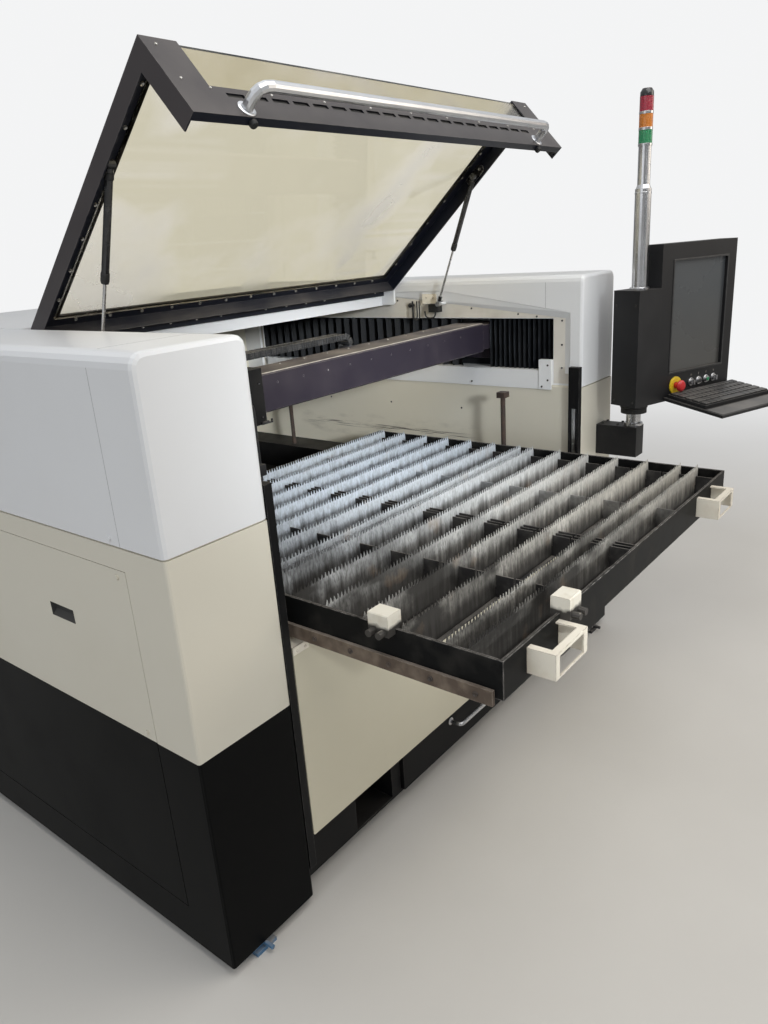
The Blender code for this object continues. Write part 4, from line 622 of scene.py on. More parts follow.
def screw_head(radius, height):
    """A round screw head on z = 0 with a sunk socket in its top."""
    shape = bmesh.new()
    bmesh.ops.create_cone(shape, cap_ends=True, segments=12, radius1=radius, radius2=radius * 0.88,
                          depth=height, matrix=Matrix.Translation((0, 0, height / 2)))
    top = max(shape.faces, key=lambda face: face.calc_center_median().z)
    bmesh.ops.inset_individual(shape, faces=[top], thickness=radius * 0.42)
    bmesh.ops.translate(shape, verts=top.verts, vec=(0, 0, -height * 0.65))
    return shape


def push_out(shape, extruded, vec):
    """Moves the points that an extrusion has just made, and turns all faces outward."""
    moved = [part for part in extruded["geom"] if isinstance(part, bmesh.types.BMVert)]
    bmesh.ops.translate(shape, verts=moved, vec=vec)
    bmesh.ops.recalc_face_normals(shape, faces=shape.faces)
    return shape


def thicken(shape, vec):
    """Makes a flat sheet solid by extruding it along a vector."""
    return push_out(shape, bmesh.ops.extrude_face_region(shape, geom=shape.faces[:]), vec)


def plate(outline, low_x, high_x):
    """An outline of a few (y, z) points, made solid between two planes of x."""
    shape = bmesh.new()
    shape.faces.new([shape.verts.new((low_x, y, z)) for y, z in outline])
    return thicken(shape, (high_x - low_x, 0, 0))


# %% [markdown]
# A small shape, such as a screw, is made once and stamped into a larger mesh wherever it
# is needed, so a whole row of screws is one piece. Separate objects would look the same,
# but they would fill the outliner and slow the export. A piece is a list of shapes, each
# with its places. It gets a name, a finish and the body that it moves with.

# %% Define how a piece is put together
here = [Matrix()]
to_middle = Matrix.Translation((middle_x, 0, 0))
flip = to_middle @ Matrix.Diagonal((-1, 1, 1, 1)) @ to_middle.inverted()
both_sides = [Matrix(), flip]


def facing(place, direction):
    """The matrix that stands a shape made about +Z on a place and turns it to a direction."""
    turn = Vector((0, 0, 1)).rotation_difference(Vector(direction)).to_matrix().to_4x4()
    return Matrix.Translation(place) @ turn


def joined(parts):
    """Copies small shapes into one mesh; a shape without places stays where it was made."""
    whole = bmesh.new()
    carrier = bpy.data.meshes.new("carrier")
    for part in parts:
        small, places = part if isinstance(part, tuple) else (part, here)
        for place in places:
            copy = small.copy()
            bmesh.ops.transform(copy, verts=copy.verts, matrix=place)
            if place.determinant() < 0:
                bmesh.ops.reverse_faces(copy, faces=copy.faces)
            copy.to_mesh(carrier)
            whole.from_mesh(carrier)
            copy.free()
        small.free()
    bpy.data.meshes.remove(carrier)
    return whole


def named(name, shape, finish, smooth=None):
    """Turns a shape into an object of the scene with its finish."""
    mesh = bpy.data.meshes.new(name)
    shape.to_mesh(mesh)
    shape.free()
    mesh.materials.append(finishes[finish])
    if smooth:
        mesh.shade_smooth()
        mesh.set_sharp_from_angle(angle=radians(smooth))
    made = bpy.data.objects.new(name, mesh)
    scene.collection.objects.link(made)
    return made


def piece(name, finish, body, parts, smooth=None):
    """Makes one piece of many parts and lets it ride on a body of the machine."""
    made = named(name, joined(parts), finish, smooth)
    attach(made, body)
    print(name, "faces:", len(made.data.polygons), "rides on", body)
    return made


def screws(radius, height, direction, places, turns=here):
    """Screw heads of one size that all look the same way."""
    stands = [turn @ facing(place, direction) for place in places for turn in turns]
    return screw_head(radius, height), stands


# %% [markdown]
# The slats are cut from thin zinc sheet with a row of narrow spires on top, so the work
# touches them only at points. A boolean with a tooth-shaped cutter would be slow. A long
# grid whose top row of points is pulled up every fourth point gives the same hollow-sided
# teeth, and one extrusion gives the sheet its two millimetres. Each slat is worn a little
# differently and leans by its own small angle.


# %% Cut the toothed slats
bed_low, bed_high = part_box("bed_tray")
slat_x0, slat_x1 = 0.2241, 1.5699
slat_teeth = 112
slat_valley, slat_rise, slat_deep, slat_sheet = 0.833, 0.0148, 0.076, 0.002
slat_first, slat_pitch = bed_low.y + 0.078, 0.0525
slat_rows = [slat_first + slat_pitch * row for row in (0, 1, 3, 5, 7, 9, 11, 12, 14, 16, 18, 20, 22, 24)]
wear_dice = Random(7)


def toothed_slat(y, lean):
    """One slat that stands in the plane of y, with its teeth up."""
    shape = bmesh.new()
    middle_z = slat_valley - slat_deep / 2
    bmesh.ops.create_grid(shape, x_segments=slat_teeth * 4, y_segments=1, size=0.5)
    bmesh.ops.transform(shape, verts=shape.verts, matrix=Matrix((
        (slat_x1 - slat_x0, 0, 0, (slat_x0 + slat_x1) / 2), (0, 0, 1, y - slat_sheet / 2),
        (0, slat_deep, 0, middle_z), (0, 0, 0, 1))))
    top = sorted((point for point in shape.verts if point.co.z > middle_z), key=lambda point: point.co.x)
    for number, point in enumerate(top):
        if number % 4 == 2:
            point.co.z += slat_rise * wear_dice.uniform(0.74, 1.0)
            point.co.x += wear_dice.uniform(-0.0005, 0.0005)
        elif number % 4:
            point.co.z += slat_rise * wear_dice.uniform(0.1, 0.18)
        else:
            point.co.z -= wear_dice.uniform(0.0, 0.0012)
    thicken(shape, (0, slat_sheet, 0))
    bmesh.ops.rotate(shape, verts=shape.verts, cent=(0, y, slat_valley - slat_deep),
                     matrix=Matrix.Rotation(radians(lean), 3, "X"))
    return shape


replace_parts(piece("toothed_slats", "slat_zinc", "bed",
                  [toothed_slat(y, wear_dice.uniform(-1.6, 1.6)) for y in slat_rows]), "slat_grid")
# Dark carriers under the slats, which also hide the pale floor below: partly painted shade under the bed.
piece("slat_carriers_shade_bars", "comb_dark", "bed",
      [soft_block((slat_x0, y - 0.012, 0.7533), (slat_x1, y + 0.012, 0.7562), 0.0008, 1) for y in slat_rows])

# %% [markdown]
# The slats stand in slotted combs: three black plates down the middle, one at each end
# and one at the left quarter, and a cleaner grey one at the right quarter. One pitch of a
# comb, with its slot, is a face of eight points. Stamped along the bed and merged, it
# makes the whole plate.


# %% Make the combs
def comb_plate(x):
    """One slotted comb in the plane of x."""
    edge, half, notch = slat_pitch / 2, 0.0024, 0.03
    low, high = 0.756, 0.814
    tile = bmesh.new()
    tile.faces.new([tile.verts.new((x, y, z)) for y, z in (
        (-edge, low), (edge, low), (edge, high), (half, high), (half, high - notch),
        (-half, high - notch), (-half, high), (-edge, high))])
    shape = joined([(tile, [Matrix.Translation((0, slat_first + slat_pitch * k, 0)) for k in range(25)])])
    bmesh.ops.remove_doubles(shape, verts=shape.verts, dist=0.0001)
    for end_y, limit in ((min(v.co.y for v in shape.verts), bed_low.y + 0.0065),
                         (max(v.co.y for v in shape.verts), bed_high.y - 0.0065)):
        for point in shape.verts:
            if abs(point.co.y - end_y) < 0.0001:
                point.co.y = limit
    return thicken(shape, (0.003, 0, 0))


inner_x0, inner_width = 0.223, 1.348
for name, finish, shares in (("comb_plates_dark", "comb_dark", (0.018, 0.27, 0.487, 0.5, 0.513, 0.982)),
                             ("comb_plates_grey", "comb_grey", (0.73,))):
    combs = piece(name, finish, "bed",
                  [comb_plate(inner_x0 + inner_width * share - 0.0015) for share in shares])
    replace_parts(combs, "slat_grid")

# %% [markdown]
# The energy chain leads the head's cables along the beam. It is a row of small links: two
# side plates, two cross bars and two pin heads each. A plain ribbon with a bump would look
# flat from the side, so one link is built and stamped along the lower run, round the bend
# and back along the upper run.

# %% Build the energy chain
link_pitch = 0.022
chain_y0, chain_wide, tall, bend = 0.472, 0.046, 0.01, 0.028
chain_y1 = chain_y0 + chain_wide
chain_low_z, chain_x0, chain_x1 = 1.2363, 0.246, 1.043
side, bar = link_pitch * 0.47, link_pitch * 0.22
link = joined(
    [soft_block((-side, y, -tall), (side, y + 0.005, tall), 0.0015, 1)
     for y in (chain_y0 - 0.0025, chain_y1 - 0.0025)]
    + [soft_block((-bar, chain_y0 + 0.0025, z - 0.0016), (bar, chain_y1 - 0.0025, z + 0.0016), 0.0006, 1)
       for z in (-tall + 0.0022, tall - 0.0022)]
    + [soft_block((-0.0035, y, -0.0035), (0.0035, y + 0.0012, 0.0035), 0.0012, 1)
       for y in (chain_y0 - 0.0031, chain_y1 + 0.0019)])
links = int((chain_x1 - chain_x0) / link_pitch)
places = [Matrix.Translation((chain_x1 - link_pitch * (number + 0.5), 0, z))
          for number in range(links) for z in (chain_low_z, chain_low_z + 2 * bend)]
for angle in (pi / 8, 3 * pi / 8, 5 * pi / 8, 7 * pi / 8):
    on_bend = (chain_x1 + bend * sin(angle), 0, chain_low_z + bend - bend * cos(angle))
    places.append(Matrix.Translation(on_bend) @ Matrix.Rotation(-angle, 4, "Y"))
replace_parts(piece("energy_chain_links", "chain_black", "gantry", [(link, places)]),
            "energy_chain")

# %% [markdown]
# Rows of screws tell the eye how a machine is put together. The beam's cover is held by a
# row of zinc screws on its front, and a thin bright strip runs along its front top edge.
# The carriage's own screws are black, and a small hook sits at its foot.

# %% Fit the screws of beam and carriage
beam_xs = [0.598 + 0.1014 * k for k in range(10)]
piece("beam_screws", "screw_zinc", "gantry", [
    screws(0.0034, 0.0018, (0, -1, 0), [(x, 0.3366, 1.233) for x in beam_xs]),
    screws(0.0034, 0.0018, (0, 0, 1), [(x, 0.425, 1.263) for x in beam_xs])])
piece("beam_edge_strip", "edge_pale", "gantry",
      [soft_block((0.2, 0.3362, 1.2626), (1.664, 0.3425, 1.2642), 0.0003, 1)])
piece("carriage_hook_and_screws", "strut_black", "carriage", [
    soft_block((0.505, 0.311, 1.135), (0.5299, 0.3206, 1.143), 0.0015),
    soft_block((0.524, 0.311, 1.135), (0.543, 0.316, 1.1395), 0.0015),
    soft_block((0.5385, 0.311, 1.136), (0.543, 0.316, 1.146), 0.0014),
    screws(0.0036, 0.0024, (0, -1, 0),
           [(x, 0.3206, z) for x in (0.515, 0.43, 0.335) for z in (1.155, 1.245)]),
], smooth=35)

# %% [markdown]
# The cutting head is a plain block in the solid model. A real one is a stack of round
# housings on a short back plate, with a drawer for its lens, and it narrows to the nozzle.
# The stack is one turned profile on the head's own axis.

# %% Turn the cutting head
head_low, head_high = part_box("cutting_head")
head_x, head_y, tip = (head_low.x + head_high.x) / 2, (head_low.y + head_high.y) / 2, head_low.z
stack = turned_part([
    (0, 0), (0.003, 0), (0.011, 0.03), (0.012, 0.033), (0.02, 0.0345), (0.0215, 0.038),
    (0.0215, 0.056), (0.019, 0.058), (0.019, 0.064), (0.0265, 0.072), (0.029, 0.076),
    (0.029, 0.118), (0.027, 0.12), (0.027, 0.123), (0.029, 0.125), (0.029, 0.23),
    (0.027, 0.232), (0.027, 0.235), (0.029, 0.237), (0.029, 0.305), (0.027, 0.319),
    (0.024, 0.32), (0.024, 0.349), (0.0225, 0.35), (0, 0.35)], 40)
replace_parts(piece("cutting_head_stack", "console_black", "head", [
    (stack, [Matrix.Translation((head_x, head_y, tip))]),
    soft_block((head_x - 0.029, head_y + 0.01, tip + 0.13), (head_x + 0.029, head_high.y, tip + 0.3), 0.002),
    soft_block((head_x - 0.018, head_low.y + 0.002, tip + 0.142),
               (head_x + 0.018, head_y, tip + 0.172), 0.002),
], smooth=32), "cutting_head")

# %% [markdown]
# The lid is seen from below and from the front, so its fasteners show: bolts along the
# underside of the side rails and the rear border, screws at the window's front corners and
# a dark liner behind the vent slots. They are placed as if the lid were shut, with y and z
# counted from the hinge, and one matrix then turns them up with the lid.

# %% Fit the lid's fasteners
lid_x0, lid_x1, lid_front = 0.176, 1.688, -0.847
lid_up = Matrix.Translation((0, 0.8, 1.413)) @ Matrix.Rotation(-radians(41.5), 4, "X")
rail_xs, corner_xs = (lid_x0 + 0.046, lid_x1 - 0.046), (lid_x0 + 0.03, lid_x1 - 0.03)
under = [(x, -0.12 - 0.105 * k, -0.0042) for x in rail_xs for k in range(7)]
under += [(lid_x0 + 0.12 + 0.106 * k, -0.035, -0.0042) for k in range(13)]
front = [(x, lid_front, z) for x in corner_xs for z in (-0.02, -0.11)]
front += [(lid_x0 + 0.09 + 0.165 * k, lid_front, -0.127) for k in range(9)]
above = [(x, -0.1 - 0.165 * k, 0) for x in corner_xs for k in range(5)]
piece("lid_bolts", "screw_zinc", "lid", [
    screws(0.005, 0.003, (0, 0, -1), under, [lid_up]), screws(0.0032, 0.0016, (0, -1, 0), front, [lid_up]),
    screws(0.0036, 0.0018, (0, 0, 1), above, [lid_up])])
liner = soft_block((lid_x0 + 0.1, lid_front + 0.0046, -0.156), (lid_x1 - 0.1, lid_front + 0.0066, -0.128),
                   0.0004, 1)
piece("slot_liner", "rubber_black", "lid", [(liner, [lid_up])])
bumper = turned_part([(0, 0), (0.0095, 0), (0.0095, 0.007), (0.008, 0.01), (0, 0.011)], 20)
under = [lid_up @ facing((x, lid_front + 0.012, -0.2001), (0, 0, -1)) for x in (0.33, 1.535)]
piece("lip_bumpers", "rubber_black", "lid", [(bumper, under)], smooth=40)

# %% [markdown]
# The tube handle stands on two round feet, and each gas strut hangs on a black bracket
# with a polished rim inside the lid's side rail. A small turned profile makes the feet,
# and the brackets are flat outlines with rounded ends. A strut's cylinder has a collar at
# each end, and its rod a short boot.

# %% Fit the handle's feet and the strut brackets
foot = turned_part([(0, 0), (0.0205, 0), (0.0205, 0.002), (0.0185, 0.0034), (0.0128, 0.0034)], 28)
piece("handle_feet", "tube_steel", "lid",
      [(foot, [lid_up @ facing((x, lid_front, -0.178), (0, -1, 0)) for x in (0.324, 1.54)])], smooth=40)

eye_y, eye_z, bracket_z = -0.567, -0.026, -0.02


def rounded_bar(radius):
    """The outline of a bar round the strut's eye with two round ends."""
    ends = [(eye_y + shift, radians(start + 30 * k))
            for shift, start in ((-0.026, 90), (0.026, -90)) for k in range(7)]
    return [(y + radius * cos(angle), bracket_z + radius * sin(angle)) for y, angle in ends]


brackets, rims, pins = [], [], []
for x, inward in ((lid_x0 + 0.0042, 1), (lid_x1 - 0.0042, -1)):
    face, ridge = x + inward * 0.003, x + inward * 0.0018
    brackets.append((plate(rounded_bar(0.014), min(x, face), max(x, face)), [lid_up]))
    rims.append((plate(rounded_bar(0.0156), min(x, ridge), max(x, ridge)), [lid_up]))
    pins.append(screws(0.005, 0.0028, (inward, 0, 0),
                       [(face, eye_y + shift, bracket_z) for shift in (-0.026, 0.026)], [lid_up]))
piece("strut_brackets", "strut_black", "lid", brackets, smooth=30)
piece("strut_bracket_rims", "bright_steel", "lid", rims)
piece("strut_bracket_bolts", "screw_zinc", "lid", pins)

eye, foot_pin = lid_up @ Vector((0, eye_y, eye_z)), Vector((0, 0.53, 1.335))
down = (foot_pin - eye).normalized()
for side, x in (("left", 0.2), ("right", 1.664)):
    top, low = eye + Vector((x, 0, 0)), foot_pin + Vector((x, 0, 0))
    seal = turned_part([(0.0094, 0), (0.0103, 0.001), (0.0103, 0.019), (0.0086, 0.025), (0.0052, 0.0262),
                        (0.0052, 0.024)], 24)
    end = turned_part([(0.0094, 0), (0.0106, 0.0015), (0.0106, 0.014), (0.0094, 0.0155)], 24)
    piece("strut_collars_" + side, "rubber_black", "strut_cylinder_" + side, [
        (seal, [facing(top + down * 0.237, down)]), (end, [facing(top + down * 0.016, down)])], smooth=35)
    boot = turned_part([(0.0044, 0), (0.0074, 0.001), (0.0074, 0.015), (0.006, 0.019), (0.0044, 0.02)], 24)
    piece("strut_rod_end_" + side, "strut_black", "strut_rod_" + side,
          [(boot, [facing(low - down * 0.03, down)])], smooth=35)

# %% [markdown]
# The hinge rail is bolted to the top cover about every ten centimetres, except where a
# hinge knuckle sits. The bolts get the same zinc as the other screws but stay small.

# %% Bolt the hinge rail
knuckles = [lid_x0 + (lid_x1 - lid_x0) * share for share in (0.14, 0.5, 0.86)]
bolt_xs = [x for x in (0.23 + 0.1 * k for k in range(15))
           if all(abs(x - knuckle) > 0.075 for knuckle in knuckles)]
piece("hinge_rail_bolts", "screw_zinc", "machine",
      [screws(0.0048, 0.003, (0, -1, 0), [(x, 0.812, 1.384) for x in bolt_xs])])

# %% [markdown]
# Inside the right cover a beige liner surrounds the bellows, with small dark screws along
# its sloping top and its front edge. A white lip leads in to it, whose face slopes from
# the cover's edge down to the liner. The same pieces stand mirrored in the left cover.
# The liner is made of flat plates that leave the bellows' window free, so nothing needs
# cutting, and each lip is the convex hull of its eight corners. Behind it a thin black
# skirt rides with each truck of the gantry.

# %% Line the cover recesses
liner_x = 1.7089
plates = [
    [(0.001, 1.2795), (1.584, 1.2795), (1.584, 1.379), (0.5325, 1.379), (0.001, 1.298)],
    [(0.001, 1.048), (0.069, 1.048), (0.069, 1.279), (0.001, 1.279)],
    [(1.5725, 1.048), (1.584, 1.048), (1.584, 1.279), (1.5725, 1.279)],
]
piece("recess_lining", "soot_cream", "machine",
      [(plate(outline, liner_x, 1.7097), both_sides) for outline in plates])


def lip(outer, inner):
    """A wedge between an edge of the cover and an edge of the liner."""
    shape = bmesh.new()
    for rim, x in ((outer, 1.6992), (inner, 1.7083)):
        for y, z in rim:
            shape.verts.new((x, y, z))
            shape.verts.new((1.7088, y, z))
    bmesh.ops.convex_hull(shape, input=shape.verts)
    bmesh.ops.recalc_face_normals(shape, faces=shape.faces)
    return shape


piece("recess_lips", "cover_white", "machine", [
    (lip(((0.5325, 1.379), (0.001, 1.298)), ((0.955, 1.379), (0.024, 1.2791))), both_sides),
    (lip(((0.001, 1.298), (0.001, 1.085)), ((0.024, 1.2791), (0.024, 1.085))), both_sides)])
liner_at = ((0.41, 1.3135), (0.211, 1.2925), (0.136, 1.284), (0.76, 1.345), (1.06, 1.368), (1.38, 1.368),
            (0.037, 1.27), (0.037, 1.186), (0.037, 1.104))
sill_at = [(1.6917, 0.084, 1.114), (1.6917, 0.084, 1.06), (1.6917, 0.108, 1.036)]
sill_at += [(1.6947, y, 1.04) for y in (0.409, 0.86, 1.3)]
liner_at = [(liner_x, y, z) for y, z in liner_at]
piece("recess_screws", "screw_dark", "machine",
      [screws(0.0036, 0.0022, (-1, 0, 0), liner_at, both_sides)])
piece("sill_screws", "screw_dark", "machine",
      [screws(0.0038, 0.002, (-1, 0, 0), sill_at, both_sides)])
gusset = plate([(0.8262, 1.33), (0.8262, 1.395), (0.77, 1.395), (0.762, 1.387), (0.762, 1.337),
                (0.77, 1.33)], 1.6887, 1.6972)
piece("flange_gussets", "cover_white", "machine", [(gusset, both_sides)])
wall_at = [(1.698, y, 0.93) for y in (0.463, 0.817, 1.16)]
piece("wall_plugs", "screw_dark", "machine",
      [screws(0.004, 0.0012, (-1, 0, 0), wall_at, both_sides)])
piece("truck_skirts", "bellows_black", "gantry",
      [(soft_block((1.765, 0.311, 1.0955), (1.769, 0.527, 1.123), 0.0004), both_sides)])

# %% [markdown]
# Pleated rubber closes each cover's window before and behind the gantry, so it has to
# stretch and close up as the gantry travels. A zigzag sheet with rounded folds is built
# at rest in each window.


# %% Fold the bellows
def folded_sheet(low, high, pitch):
    """The pleated sheet that stands in a cover's window, with three points at each fold."""
    outward = 1 if low.x > middle_x else -1
    near = low.x if outward > 0 else high.x
    pleats = max(2, round((high.y - low.y) / pitch))
    step = (high.y - low.y) / (2 * pleats)
    path = []
    for i in range(2 * pleats + 1):
        deep, eased = ((0.0, 0.0042), (0.028, 0.0238))[i % 2]
        for along, depth in ((-0.16 * step, eased), (0, deep), (0.16 * step, eased)):
            y = low.y + step * i + along
            if low.y - 1e-6 <= y <= high.y + 1e-6:
                path.append((near + outward * depth, y))
    sheet = bmesh.new()
    rows = [[sheet.verts.new((x + outward * back, y, z)) for x, y in path]
            for back, z in ((0.0, low.z), (0.0, high.z), (0.004, high.z), (0.004, low.z))]
    for one, other in zip(rows, rows[1:] + rows[:1]):
        for k in range(len(path) - 1):
            sheet.faces.new((one[k], one[k + 1], other[k + 1], other[k]))
    sheet.faces.new([row[0] for row in rows])
    sheet.faces.new([row[-1] for row in reversed(rows)])
    bmesh.ops.recalc_face_normals(sheet, faces=sheet.faces)
    return sheet


for side in ("left", "right"):
    for place, pitch, first, last in (("front", 0.02, "machine", "gantry"),
                                      ("rear", 0.046, "gantry", "machine")):
        node = f"bellows_{side}_{place}"
        low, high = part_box(node)
        folds = named(node + "_folds", folded_sheet(low, high, pitch), "bellows_black")
        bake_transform(folds)
        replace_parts(folds, node)
        print(folds.name, "faces:", len(folds.data.polygons), "bends between", first, "and", last)

# %% [markdown]
# The covers are moulded in two lengths, and the joint shows as a faint line down the
# inner face, over the top and down the outer face. A groove that thin would need cutting
# into the cover, so a dark filler strip a fifth of a millimetre proud stands for it.

# %% Mark the cover joints
seam_y0, seam_y1 = 0.096 - 0.0006, 0.096 + 0.0006
piece("cover_joint_lines", "seam_grey", "machine", [
    (soft_block((x0, seam_y0, z0), (x1, seam_y1, z1), 0.00008, 1), both_sides) for x0, x1, z0, z1 in (
        (1.6978, 1.6981, 1.315, 1.402), (1.72, 1.934, 1.4238, 1.4242), (1.9638, 1.9641, 1.042, 1.394))])

# %% [markdown]
# The service panel opens with a flush black pull: a thin rim round a cup whose lower wall
# slopes so that fingertips slide in. A block whose face is inset and pushed in gives rim
# and cup at once, and the slope comes from moving two edges.

# %% Set the service panel's pull
cup_y, cup_z = 0.3865, 0.825
cup = bmesh.new()
bmesh.ops.create_cube(cup, size=1.0, matrix=Matrix.Translation((-0.0946, cup_y, cup_z))
                      @ Matrix.Diagonal((0.0118, 0.096, 0.033, 1)))
front_face = min(cup.faces, key=lambda face: face.calc_center_median().x)
bmesh.ops.inset_individual(cup, faces=[front_face], thickness=0.0036)
bmesh.ops.translate(cup, verts=front_face.verts, vec=(0.0095, 0, 0))
for point in front_face.verts:
    if point.co.z < cup_z:
        point.co.z += 0.012
    point.co.y += 0.004 if point.co.y < cup_y else -0.004
piece("panel_pull_cup", "rubber_black", "machine", [cup])

# %% [markdown]
# The door runs on a polished linear rail in the black guide at each side. The rail shows
# above the lowered door, with its row of sunk bolt holes. The holes are real: each is a
# face of the rail that is inset and pushed in.


# %% Fit the linear rails
def linear_rail(face_x, side, thickness):
    """One upright rail whose face looks to the middle, with eleven sunk holes."""
    rail = bmesh.new()
    bmesh.ops.create_grid(rail, x_segments=1, y_segments=11, size=0.5)
    bmesh.ops.transform(rail, verts=rail.verts, matrix=Matrix((
        (0, 0, 1, face_x), (0.013, 0, 0, -0.025), (0, 0.28, 0, 0.846), (0, 0, 0, 1))))
    borders = bmesh.ops.inset_individual(rail, faces=rail.faces[:], thickness=0.0038)["faces"]
    holes = [face for face in rail.faces if face not in borders]
    bmesh.ops.inset_individual(rail, faces=holes, thickness=0.0004)
    for face in holes:
        bmesh.ops.translate(rail, verts=face.verts, vec=(side * -0.003, 0, 0))
    rim = [edge for edge in rail.edges if edge.is_boundary]
    push_out(rail, bmesh.ops.extrude_edge_only(rail, edges=rim), (-side * thickness, 0, 0))
    bmesh.ops.holes_fill(rail, edges=[edge for edge in rail.edges if edge.is_boundary])
    bmesh.ops.recalc_face_normals(rail, faces=rail.faces)
    return rail


piece("door_linear_rails", "rail_steel", "machine",
      [linear_rail(0.187, 1, 0.0055), linear_rail(1.677, -1, 0.0055)])

# %% [markdown]
# The bed rolls out on two runner bars. Each carries a row of bolt heads, a cream roller
# bracket stands behind the door's top left corner, and a folded clip wraps that corner.
# The clamps' thumb screws have black knurled knobs: a turned cap whose side faces are
# pulled in one by one. The scrap box's handle ends in two round feet.

# %% Fit the runner bolts, the roller bracket and the knobs
piece("runner_bolts", "rust_dark", "bed", [
    screws(0.0062, 0.0036, (way, 0, 0), [(x, -0.521 + 0.1045 * k, 0.7515) for k in range(13)])
    for x, way in ((0.209, -1), (1.585, 1))])
piece("roller_bracket", "handle_cream", "machine", [
    soft_block((0.19, -0.0142, 0.67), (0.2075, -0.0003, 0.73), 0.0012),
    soft_block((0.2075, -0.0142, 0.686), (0.27, -0.0003, 0.72), 0.0012),
    screws(0.004, 0.0022, (0, 0, 1), [(x, -0.0075, 0.72) for x in (0.223, 0.253)])])
piece("door_corner_clip", "handle_cream", "door", [
    soft_block((0.19, -0.048, 0.699), (0.242, -0.0451, 0.7205), 0.0008),
    soft_block((0.19, -0.048, 0.7181), (0.242, -0.015, 0.7205), 0.0008),
    screws(0.0034, 0.0016, (0, -1, 0), [(x, -0.048, 0.708) for x in (0.203, 0.229)])])

knob_tall, knob_z = 0.009, 0.831
knob = bmesh.new()
bmesh.ops.create_cone(knob, cap_ends=True, segments=18, radius1=0.007, radius2=0.0066, depth=knob_tall,
                      matrix=Matrix.Translation((0, 0, knob_tall / 2)))
bmesh.ops.inset_individual(knob, faces=[face for face in knob.faces if len(face.verts) == 4],
                           thickness=0.0004, depth=-0.0006)
top_edges = [edge for edge in knob.edges if all(abs(point.co.z - knob_tall) < 0.0001 for point in edge.verts)]
bmesh.ops.bevel(knob, geom=top_edges, offset=0.001, offset_type="OFFSET", segments=2, profile=0.5,
                affect="EDGES", material=-1)
places = [facing((0.1884, -0.303 + shift, knob_z), (-1, 0, 0)) for shift in (-0.013, 0.013)]
places += [facing((0.471 + shift, -0.6052, knob_z), (0, -1, 0)) for shift in (-0.013, 0.013)]
piece("clamp_knobs", "rubber_black", "bed", [(knob, places)], smooth=25)
foot = turned_part([(0.0062, 0), (0.0125, 0), (0.0125, 0.0014), (0.0108, 0.0024), (0.0062, 0.0024)], 24,
                   closed=True)
piece("scrap_handle_feet", "bright_steel", "scrap",
      [(foot, [facing((x, -0.0112, 0.134), (0, -1, 0)) for x in (0.8495, 1.0145)])])

# %% [markdown]
# The lid switch has two black leads that loop down and back, and a small barrel sensor
# sits further along the recess. Each lead hangs between two fixed ends, so a circle of
# points is swept round a half turn and its two ends are then drawn up into the cover. Its
# length is the two legs and the half turn.

# %% Loop the switch leads
lead_top, lead_x, lead_thick = 1.344, 1.687, 0.0052
for name, y, wide, low in (("switch_lead_outer", 0.653, 0.015, 1.2715),
                           ("switch_lead_inner", 0.66, 0.011, 1.276)):
    turn_z, leg = low + wide, lead_top - low - wide
    lead = bmesh.new()
    ring = bmesh.ops.create_circle(lead, cap_ends=False, segments=10, radius=lead_thick / 2,
                                   matrix=Matrix.Translation((lead_x, y - wide, turn_z)))["verts"]
    loop = list({edge for point in ring for edge in point.link_edges})
    bmesh.ops.spin(lead, geom=ring + loop, cent=(lead_x, y, turn_z), axis=(-1, 0, 0), angle=-pi,
                   steps=16, use_merge=False)
    ends = [edge for edge in lead.edges if edge.is_boundary]
    push_out(lead, bmesh.ops.extrude_edge_only(lead, edges=ends), (0, 0, leg))
    bmesh.ops.holes_fill(lead, edges=[edge for edge in lead.edges if edge.is_boundary])
    bmesh.ops.recalc_face_normals(lead, faces=lead.faces)
    route = [(lead_x, y - wide, lead_top - leg * k / 8) for k in range(8)]
    route += [(lead_x, y - wide * cos(pi * k / 16), turn_z - wide * sin(pi * k / 16)) for k in range(17)]
    route += [(lead_x, y + wide, turn_z + leg * k / 8) for k in range(1, 9)]
    hung_lead = piece(name, "rubber_black", "machine", [lead], smooth=45)
    print(name, "length", round(2 * leg + pi * wide, 4))

barrel = turned_part([(0, 0), (0.007, 0), (0.007, 0.003), (0.0088, 0.0036), (0.0088, 0.01), (0.0062, 0.011),
                      (0.0062, 0.03), (0.005, 0.032), (0, 0.032)], 20)
piece("barrel_sensor", "rubber_black", "machine", [
    (barrel, [facing((1.706, 0.7, 1.3257), (-0.35, -0.9, 0.1))]),
    soft_block((1.686, 0.537, 1.329), (1.709, 0.544, 1.344), 0.0008)], smooth=35)
piece("switch_bracket", "handle_cream", "machine", [
    soft_block((1.6925, 0.56, 1.333), (1.6975, 0.626, 1.37), 0.0008),
    screws(0.004, 0.0022, (-1, 0, 0), [(1.6925, y, 1.356) for y in (0.575, 0.608)])])

# %% [markdown]
# The console is built round its own post and turned towards the operator by twenty
# degrees. Every piece on it is made square to the console first, and one matrix then turns
# it into place, the same one that the solid model used.

# %% Dress the console
post_x, post_y = 1.874, -0.169
console_turn = Matrix.Translation((post_x, post_y, 0)) @ Matrix.Rotation(-radians(20.0), 4, "Z")
face_y, controls_z = -0.094, 1.02
dial_xs = [0.187 + 0.0415 * k for k in range(4)]


def out_of_face(along, depth=0.0):
    """A place in the console's row of controls, with +Z turned out of the face."""
    return console_turn @ facing((along, face_y - depth, controls_z), (0, -1, 0))


